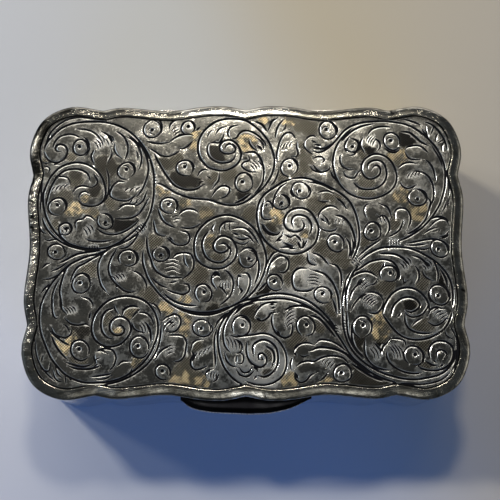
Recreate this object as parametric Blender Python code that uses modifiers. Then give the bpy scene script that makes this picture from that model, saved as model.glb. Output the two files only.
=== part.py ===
"""Engraved silver table box: a cartouche-shaped box with a hinged lid.

Metres, +Z up, the front towards -Y. The origin is the centre of the face that the box rests on.
The walls, bands, rim and plates all follow one outline, each at its own inset from the rim's edge.
The lid turns on nine tube knuckles, which two bearers let into the back of the walls carry.
"""

import math

import bmesh
import bpy
from mathutils import Vector, geometry

# Overall size
BOX_WIDTH = 0.0840
BOX_DEPTH = 0.0576
BOX_HEIGHT = 0.0225
LID_DEPTH = 0.0065

# Sheet, seams and fits
WALL_SHEET = 0.0008
FLOOR_SHEET = 0.0009
PANEL_SHEET = 0.0010
SEAT_GAP = 0.0003
LID_GAP = 0.0001
FACET_LENGTH = 0.0019

# Rim moulding around the lid
RIM_OVERHANG = 0.00045
RIM_WIDTH = 0.0020
RIM_HEIGHT = 0.00105
RIM_FALL = 0.0004
RIM_ROUND = 0.00015

# Bezel band inside the wall, which the lid slides over
BEZEL_SHEET = 0.0006
BEZEL_FIT = 0.00015
BEZEL_RISE = 0.0020
BEZEL_OVERLAP = 0.0030
BEZEL_END_GAP = 0.0050

# Hinge at the back
KNUCKLE_COUNT = 9
KNUCKLE_LENGTH = 0.0055
KNUCKLE_PLAY = 0.0001
KNUCKLE_WALL = 0.00055
KNUCKLE_CHAMFER = 0.0001
KNUCKLE_STEPS = 20
PIN_RADIUS = 0.0004
PIN_CLEARANCE = 0.00005
AXIS_SETBACK = 0.0003
TROUGH_CLEARANCE = 0.0001
TROUGH_STEPS = 8
BEARER_FLANGE = 0.0009
BEARER_WEB = 0.0013
BEARER_LIP = 0.00024
BEARER_SEAM = 0.0001

# Thumbpiece under the front of the rim
THUMB_WIDTH = 0.0244
THUMB_REACH = 0.0025
THUMB_HEIGHT = 0.0026
THUMB_END_HEIGHT = 0.0008
THUMB_STEPS = 24
THUMB_ARC_STEPS = 6

# Cutting tools run past what they cut by this much
OVERRUN = 0.0020

# The relief behind the bearers' troughs, as a share of the trough's radius; it sets the hinge's stop.
STOP_RELIEF_SHARE = 0.864

# A quarter of the outline, as shares of half the width and half the depth. The long side runs from
# its middle cusp over the crest, the hollow and the bump to the notch beside the corner lobe.
LONG_SIDE_SHARES = (
    (0.000, 0.972),
    (0.103, 1.000),
    (0.208, 0.993),
    (0.358, 0.964),
    (0.565, 0.989),
    (0.664, 0.967),
)
# The corner lobe, between the long side's notch and the short side's.
LOBE_SHARES = (
    (0.664, 0.967),
    (0.816, 0.993),
    (0.944, 0.897),
    (1.000, 0.695),
    (0.980, 0.507),
)
# The short side, from its notch over its bump to the shallow hollow in its middle.
SHORT_SIDE_SHARES = ((0.980, 0.507), (1.000, 0.327), (0.983, 0.000))
# How far the thumbpiece stands out along its width, blunt at the left and drawn out at the right.
THUMB_REACH_SHARES = (
    (-1.00, 0.10),
    (-0.93, 0.42),
    (-0.79, 0.66),
    (-0.50, 0.86),
    (0.05, 1.00),
    (0.35, 0.93),
    (0.66, 0.62),
    (0.86, 0.28),
    (1.00, 0.08),
)

HALF_WIDTH = BOX_WIDTH / 2.0
HALF_DEPTH = BOX_DEPTH / 2.0
PARTING_HEIGHT = BOX_HEIGHT - LID_DEPTH
WALL_INNER_INSET = RIM_OVERHANG + WALL_SHEET
BORE_RADIUS = PIN_RADIUS + PIN_CLEARANCE
KNUCKLE_RADIUS = BORE_RADIUS + KNUCKLE_WALL
TROUGH_RADIUS = KNUCKLE_RADIUS + TROUGH_CLEARANCE
STOP_RELIEF = TROUGH_RADIUS * STOP_RELIEF_SHARE
BEARER_FRONT = TROUGH_RADIUS + BEARER_FLANGE
BEARER_BACK = math.sqrt(TROUGH_RADIUS**2 - STOP_RELIEF**2) + BEARER_LIP
BEARER_HEIGHT = TROUGH_RADIUS + BEARER_WEB
HINGE_LENGTH = KNUCKLE_COUNT * KNUCKLE_LENGTH + (KNUCKLE_COUNT - 1) * KNUCKLE_PLAY
LOBE_DEPTH_SHARE = max(depth for width, depth in LOBE_SHARES)
HINGE_DEPTH = HALF_DEPTH * LOBE_DEPTH_SHARE - RIM_OVERHANG + AXIS_SETBACK
HINGE_AXIS = Vector((0.0, HINGE_DEPTH, PARTING_HEIGHT))
BEZEL_END_DEPTH = HINGE_DEPTH - BEARER_FRONT - BEZEL_END_GAP
RIM_BOTTOM = BOX_HEIGHT - RIM_HEIGHT
LID_WALL_TOP = RIM_BOTTOM - SEAT_GAP

TARNISHED_SILVER = {"colour": (0.34, 0.33, 0.31), "roughness": 0.38}
POLISHED_SILVER = {"colour": (0.72, 0.71, 0.69), "roughness": 0.16}
WORN_SILVER = {"colour": (0.58, 0.57, 0.55), "roughness": 0.28}


def clear_scene():
    """Remove whatever the open scene holds."""
    for obj in list(bpy.data.objects):
        bpy.data.objects.remove(obj, do_unlink=True)


def new_collection(name):
    """A collection in the scene under the given name."""
    collection = bpy.data.collections.new(name)
    bpy.context.scene.collection.children.link(collection)
    return collection


def add_object(name, data, collection):
    """An object for the data, in the collection."""
    obj = bpy.data.objects.new(name, data)
    collection.objects.link(obj)
    return obj


def give_material(obj, colour, roughness):
    """Give the piece a silver of its own colour and polish."""
    material = bpy.data.materials.new(obj.name + "_silver")
    material.use_nodes = True
    shader = material.node_tree.nodes["Principled BSDF"]
    shader.inputs["Base Color"].default_value = (*colour, 1.0)
    shader.inputs["Roughness"].default_value = roughness
    shader.inputs["Metallic"].default_value = 1.0
    material.diffuse_color = (*colour, 1.0)
    obj.data.materials.append(material)


def shade(mesh):
    """Shade round stretches smooth and keep real edges crisp."""
    mesh.shade_smooth()
    mesh.set_sharp_from_angle(angle=math.radians(35.0))


def smooth_run(knots, after=None):
    """Points on a smooth curve through the knots, all but the last knot.

    The curve leaves its first knot and reaches its last one straight, unless a knot after is given.
    """
    before = 2.0 * knots[0] - knots[1]
    after = after or 2.0 * knots[-1] - knots[-2]
    chain = [before, *knots, after]
    points = []
    for first, start, end, last in zip(chain, chain[1:], chain[2:], chain[3:]):
        leaving = start + (end - first) / 6.0
        arriving = end - (last - start) / 6.0
        steps = max(2, round((end - start).length / FACET_LENGTH))
        span = geometry.interpolate_bezier(start, leaving, arriving, end, steps + 1)
        points.extend(span[:-1])
    return points


def outline():
    """The rim's outer edge, anticlockwise from the middle of the right side."""
    def knots(shares):
        return [Vector((x * HALF_WIDTH, y * HALF_DEPTH)) for x, y in shares]

    side = knots(SHORT_SIDE_SHARES)
    below = Vector((side[-2].x, -side[-2].y))
    quarter = smooth_run(knots(LONG_SIDE_SHARES)) + smooth_run(knots(LOBE_SHARES))
    quarter = [*quarter, *smooth_run(side, after=below), side[-1]]
    upper_right = quarter[::-1]
    upper_left = [Vector((-p.x, p.y)) for p in quarter[1:]]
    upper = upper_right + upper_left
    lower = [Vector((-p.x, -p.y)) for p in upper[1:-1]]
    return upper + lower


def inset_ring(inset):
    """The outline moved inwards by the inset, mitred at its notches and cusps."""
    ring = outline()
    moved = []
    for before, point, after in zip(ring[-1:] + ring[:-1], ring, ring[1:] + ring[:1]):
        arriving = (point - before).normalized()
        leaving = (after - point).normalized()
        normals = Vector((-arriving.y, arriving.x)), Vector((-leaving.y, leaving.x))
        mitre = (normals[0] + normals[1]) / (1.0 + normals[0].dot(normals[1]))
        moved.append(point + inset * mitre)
    return moved


def front_depth(x, inset):
    """How far the inset outline stands in front of the middle at the place x across."""
    front = sorted((p.x, p.y) for p in inset_ring(inset) if p.y < 0.0)
    for (x0, y0), (x1, y1) in zip(front, front[1:]):
        if x0 <= x <= x1:
            return -(y0 + (y1 - y0) * (x - x0) / (x1 - x0))
    raise ValueError("the place lies outside the outline")


def plate(name, inset, bottom, sheet, collection):
    """A flat sheet cut to the outline at the given inset."""
    curve = bpy.data.curves.new(name, "CURVE")
    curve.dimensions = "2D"
    curve.fill_mode = "BOTH"
    curve.extrude = sheet / 2.0
    ring = inset_ring(inset)
    spline = curve.splines.new("POLY")
    spline.points.add(len(ring) - 1)
    for control, point in zip(spline.points, ring):
        control.co = (point.x, point.y, 0.0, 1.0)
    spline.use_cyclic_u = True
    obj = add_object(name, curve, collection)
    obj.location.z = bottom + sheet / 2.0
    return obj


def wall(name, inset, bottom, top, sheet, collection):
    """An upright strip bent round the outline, its outer face at the inset."""
    bm = bmesh.new()
    corners = [bm.verts.new((p.x, p.y, bottom)) for p in inset_ring(inset)]
    edges = [bm.edges.new(pair) for pair in zip(corners, corners[1:] + corners[:1])]
    raised = bmesh.ops.extrude_edge_only(bm, edges=edges)["geom"]
    upper = [item for item in raised if isinstance(item, bmesh.types.BMVert)]
    bmesh.ops.translate(bm, verts=upper, vec=(0.0, 0.0, top - bottom))
    bm.normal_update()
    bm.faces.ensure_lookup_table()
    first = bm.faces[0]
    if first.normal.dot(first.calc_center_median()) < 0.0:
        bmesh.ops.reverse_faces(bm, faces=bm.faces)
    mesh = bpy.data.meshes.new(name)
    bm.to_mesh(mesh)
    bm.free()
    shade(mesh)
    obj = add_object(name, mesh, collection)
    solidify = obj.modifiers.new("Sheet", "SOLIDIFY")
    solidify.thickness = sheet
    solidify.offset = -1.0
    solidify.use_even_offset = True
    return obj


def moulding(name, profile, collection):
    """A ring swept round the outline; the profile is pairs of inset and height, outer side rising."""
    bm = bmesh.new()
    rings = []
    for inset, height in profile:
        rings.append([bm.verts.new((p.x, p.y, height)) for p in inset_ring(inset)])
    for low, high in zip(rings, rings[1:] + rings[:1]):
        for i, j in zip(range(-1, len(low) - 1), range(len(low))):
            bm.faces.new((low[i], low[j], high[j], high[i]))
    mesh = bpy.data.meshes.new(name)
    bm.to_mesh(mesh)
    bm.free()
    shade(mesh)
    return add_object(name, mesh, collection)


def cutting_block(name, low, high, collection):
    """A block between two corners that takes material away and isn't a piece itself."""
    bm = bmesh.new()
    bmesh.ops.create_cube(bm, size=1.0)
    mesh = bpy.data.meshes.new(name)
    bm.to_mesh(mesh)
    bm.free()
    obj = add_object(name, mesh, collection)
    obj.location = (Vector(low) + Vector(high)) / 2.0
    obj.scale = Vector(high) - Vector(low)
    obj.hide_render = True
    obj.display_type = "WIRE"
    return obj


def cut(obj, cutter):
    """Take the cutter's shape out of the piece."""
    boolean = obj.modifiers.new(cutter.name, "BOOLEAN")
    boolean.operation = "DIFFERENCE"
    boolean.solver = "EXACT"
    boolean.object = cutter


def bearer(name, side, collection):
    """A hinge bearer: a bar with a quarter trough for the knuckles and a lip that is relieved behind.

    The side is 1 above the parting plane and -1 below it. The lips of both bars meet when the lid
    stands open, and so they are the hinge's stop.
    """
    start = math.acos(BEARER_SEAM / TROUGH_RADIUS)
    end = math.acos(STOP_RELIEF_SHARE)
    section = [(-BEARER_FRONT, BEARER_SEAM), (-BEARER_FRONT, BEARER_HEIGHT)]
    section += [(BEARER_BACK, BEARER_HEIGHT), (BEARER_BACK, STOP_RELIEF)]
    for step in range(TROUGH_STEPS + 1):
        angle = end - (start + end) * step / TROUGH_STEPS
        section.append((TROUGH_RADIUS * math.sin(angle), TROUGH_RADIUS * math.cos(angle)))
    curve = bpy.data.curves.new(name, "CURVE")
    curve.dimensions = "2D"
    curve.fill_mode = "BOTH"
    curve.extrude = HINGE_LENGTH / 2.0
    spline = curve.splines.new("POLY")
    spline.points.add(len(section) - 1)
    for control, (depth, height) in zip(spline.points, section):
        control.co = (depth, side * height, 0.0, 1.0)
    spline.use_cyclic_u = True
    obj = add_object(name, curve, collection)
    obj.rotation_euler = (math.radians(90.0), 0.0, math.radians(90.0))
    obj.location = HINGE_AXIS
    return obj


def knuckle(name, place, collection):
    """One tube of the hinge, turned about the hinge's axis, at the given place across."""
    half = KNUCKLE_LENGTH / 2.0
    rounded = KNUCKLE_RADIUS - KNUCKLE_CHAMFER
    profile = [(rounded, half), (KNUCKLE_RADIUS, half - KNUCKLE_CHAMFER)]
    profile += [(KNUCKLE_RADIUS, KNUCKLE_CHAMFER - half), (rounded, -half)]
    profile += [(BORE_RADIUS, -half), (BORE_RADIUS, half)]
    mesh = bpy.data.meshes.new(name)
    count = len(profile)
    edges = [(i, (i + 1) % count) for i in range(count)]
    mesh.from_pydata([(radius, 0.0, along) for radius, along in profile], edges, [])
    obj = add_object(name, mesh, collection)
    screw = obj.modifiers.new("Turn", "SCREW")
    screw.axis = "Z"
    screw.steps = KNUCKLE_STEPS
    screw.render_steps = KNUCKLE_STEPS
    screw.use_merge_vertices = True
    screw.merge_threshold = KNUCKLE_CHAMFER / 10.0
    obj.rotation_euler.y = math.radians(90.0)
    obj.location = HINGE_AXIS + Vector((place, 0.0, 0.0))
    return obj


def hinge_pin(collection):
    """The wire that runs through all the knuckles, filed flush with the outer ones."""
    bm = bmesh.new()
    bmesh.ops.create_cone(
        bm,
        cap_ends=True,
        segments=KNUCKLE_STEPS,
        radius1=PIN_RADIUS,
        radius2=PIN_RADIUS,
        depth=HINGE_LENGTH,
    )
    mesh = bpy.data.meshes.new("hinge_pin")
    bm.to_mesh(mesh)
    bm.free()
    shade(mesh)
    obj = add_object("hinge_pin", mesh, collection)
    obj.rotation_euler.y = math.radians(90.0)
    obj.location = HINGE_AXIS
    return obj


def thumb_reach(across):
    """The share of the full reach at a place across, from -1 at the left end to 1 at the right."""
    for (x0, y0), (x1, y1) in zip(THUMB_REACH_SHARES, THUMB_REACH_SHARES[1:]):
        if x0 <= across <= x1:
            ease = (across - x0) / (x1 - x0)
            return y0 + (y1 - y0) * ease
    raise ValueError("the place lies outside the thumbpiece")


def thumbpiece(collection):
    """The lip that lifts the lid: a half-round section that swells towards the middle.

    Its back follows the lid's wall, and its top stays under the rim.
    """
    bm = bmesh.new()
    rings = []
    for step in range(THUMB_STEPS + 1):
        across = -1.0 + 2.0 * step / THUMB_STEPS
        x = across * THUMB_WIDTH / 2.0
        share = thumb_reach(across)
        root = front_depth(x, RIM_OVERHANG) + SEAT_GAP
        edge = front_depth(x, 0.0)
        tip = edge + (HALF_DEPTH + THUMB_REACH - edge) * share
        height = THUMB_END_HEIGHT + (THUMB_HEIGHT - THUMB_END_HEIGHT) * share
        top = LID_WALL_TOP
        ring = [bm.verts.new((x, -root, top)), bm.verts.new((x, -root, top - height))]
        for turn in range(1, THUMB_ARC_STEPS):
            angle = math.pi * turn / THUMB_ARC_STEPS
            out = root + (tip - root) * math.sin(angle)
            level = top - height * (1.0 + math.cos(angle)) / 2.0
            ring.append(bm.verts.new((x, -out, level)))
        rings.append(ring)
    for left, right in zip(rings, rings[1:]):
        for i, j in zip(range(-1, len(left) - 1), range(len(left))):
            bm.faces.new((left[i], left[j], right[j], right[i]))
    bm.faces.new(rings[0])
    bm.faces.new(rings[-1][::-1])
    bmesh.ops.recalc_face_normals(bm, faces=bm.faces)
    mesh = bpy.data.meshes.new("thumbpiece")
    bm.to_mesh(mesh)
    bm.free()
    shade(mesh)
    return add_object("thumbpiece", mesh, collection)


def build_body(pieces, cutters):
    """The box under the lid: floor, wall, bezel and the lower half of the hinge."""
    floor = plate("floor_plate", WALL_INNER_INSET + SEAT_GAP, 0.0, FLOOR_SHEET, pieces)
    body_wall = wall("body_wall", RIM_OVERHANG, 0.0, PARTING_HEIGHT - LID_GAP / 2.0, WALL_SHEET, pieces)
    half_slot = HINGE_LENGTH / 2.0 + SEAT_GAP
    slot_bottom = PARTING_HEIGHT - BEARER_HEIGHT - SEAT_GAP
    slot = cutting_block(
        "body_slot",
        (-half_slot, HALF_DEPTH / 2.0, slot_bottom),
        (half_slot, HALF_DEPTH + OVERRUN, PARTING_HEIGHT + OVERRUN),
        cutters,
    )
    cut(body_wall, slot)
    bezel_bottom = PARTING_HEIGHT - BEZEL_OVERLAP
    bezel_top = PARTING_HEIGHT + BEZEL_RISE
    bezel = wall("bezel_band", WALL_INNER_INSET + BEZEL_FIT, bezel_bottom, bezel_top, BEZEL_SHEET, pieces)
    back = cutting_block(
        "bezel_back",
        (-HALF_WIDTH, BEZEL_END_DEPTH, bezel_bottom - OVERRUN),
        (HALF_WIDTH, HALF_DEPTH + OVERRUN, bezel_top + OVERRUN),
        cutters,
    )
    cut(bezel, back)
    give_material(floor, **WORN_SILVER)
    give_material(body_wall, **POLISHED_SILVER)
    give_material(bezel, **WORN_SILVER)
    give_material(bearer("body_hinge_bearer", -1.0, pieces), **WORN_SILVER)
    give_material(hinge_pin(pieces), **WORN_SILVER)


def build_lid(pieces, cutters):
    """The lid: engraved panel, rim, wall, thumbpiece and the upper half of the hinge."""
    panel = plate("lid_panel", RIM_WIDTH + SEAT_GAP, BOX_HEIGHT - PANEL_SHEET, PANEL_SHEET, pieces)
    edge_top = BOX_HEIGHT - RIM_FALL
    rim_profile = (
        (RIM_ROUND, RIM_BOTTOM),
        (0.0, RIM_BOTTOM + RIM_ROUND),
        (0.0, edge_top - RIM_ROUND),
        (RIM_ROUND, edge_top),
        (RIM_WIDTH, BOX_HEIGHT),
        (RIM_WIDTH, RIM_BOTTOM),
    )
    rim = moulding("lid_rim", rim_profile, pieces)
    wall_bottom = PARTING_HEIGHT + LID_GAP / 2.0
    lid_wall = wall("lid_wall", RIM_OVERHANG, wall_bottom, LID_WALL_TOP, WALL_SHEET, pieces)
    half_slot = HINGE_LENGTH / 2.0 + SEAT_GAP
    slot = cutting_block(
        "lid_slot",
        (-half_slot, HALF_DEPTH / 2.0, PARTING_HEIGHT - OVERRUN),
        (half_slot, HALF_DEPTH + OVERRUN, PARTING_HEIGHT + BEARER_HEIGHT + SEAT_GAP),
        cutters,
    )
    cut(lid_wall, slot)
    thumb = thumbpiece(pieces)
    upper_bearer = bearer("lid_hinge_bearer", 1.0, pieces)
    give_material(panel, **TARNISHED_SILVER)
    give_material(rim, **WORN_SILVER)
    give_material(lid_wall, **POLISHED_SILVER)
    give_material(thumb, **POLISHED_SILVER)
    give_material(upper_bearer, **WORN_SILVER)
    return [panel, rim, lid_wall, thumb, upper_bearer]


def build_knuckles(pieces):
    """The hinge's tubes, which belong to the box and to the lid in turn; the lid's are returned."""
    lid_knuckles = []
    pitch = KNUCKLE_LENGTH + KNUCKLE_PLAY
    for index in range(KNUCKLE_COUNT):
        place = (index - (KNUCKLE_COUNT - 1) / 2.0) * pitch
        on_lid = index % 2 == 1
        owner = "lid" if on_lid else "body"
        tube = knuckle(f"{owner}_knuckle_{index // 2 + 1}", place, pieces)
        give_material(tube, **WORN_SILVER)
        if on_lid:
            lid_knuckles.append(tube)
    return lid_knuckles


def hang_on_axis(lid_pieces, collection):
    """Carry the lid's pieces by an empty that lies on the hinge's axis."""
    axis = add_object("lid_hinge_axis", None, collection)
    axis.location = HINGE_AXIS
    for piece in lid_pieces:
        piece.parent = axis
        piece.location = piece.location - HINGE_AXIS


def main():
    """Model the closed box."""
    clear_scene()
    pieces = new_collection("engraved_silver_box")
    cutters = new_collection("cutting_blocks")
    build_body(pieces, cutters)
    lid_pieces = build_lid(pieces, cutters)
    lid_pieces += build_knuckles(pieces)
    hang_on_axis(lid_pieces, pieces)


main()
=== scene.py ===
"""Engraved silver table box: the finished look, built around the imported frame.

Sizes are metres in the frame of the solids: the front towards -Y, +Z up, the origin under the
middle of the box. The ornament of the lid is written in millimetres, as an engraver would mark it
out: every row is one cut of the graver, its width in hundredths of a millimetre first and then the
places it runs through, as pairs of right and back from the middle of the lid.
"""

import logging
import math
from dataclasses import dataclass, field, replace
from enum import Enum
from typing import Iterable, Sequence

import bmesh
import bpy
from mathutils import Euler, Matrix, Vector, geometry, kdtree, noise


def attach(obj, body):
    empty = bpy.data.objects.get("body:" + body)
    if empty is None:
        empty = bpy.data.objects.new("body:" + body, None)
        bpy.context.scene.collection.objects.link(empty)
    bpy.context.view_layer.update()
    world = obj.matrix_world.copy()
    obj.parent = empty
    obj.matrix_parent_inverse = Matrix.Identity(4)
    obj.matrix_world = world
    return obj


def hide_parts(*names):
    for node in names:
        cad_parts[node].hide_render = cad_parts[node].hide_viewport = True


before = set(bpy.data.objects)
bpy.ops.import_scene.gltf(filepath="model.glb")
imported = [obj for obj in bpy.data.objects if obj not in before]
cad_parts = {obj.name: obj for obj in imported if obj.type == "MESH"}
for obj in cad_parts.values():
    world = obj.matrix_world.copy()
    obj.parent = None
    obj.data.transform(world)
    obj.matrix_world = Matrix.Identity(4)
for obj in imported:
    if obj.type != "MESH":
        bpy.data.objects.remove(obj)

logging.basicConfig(level=logging.INFO, format="%(message)s")
log = logging.getLogger("silver_box")

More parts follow.
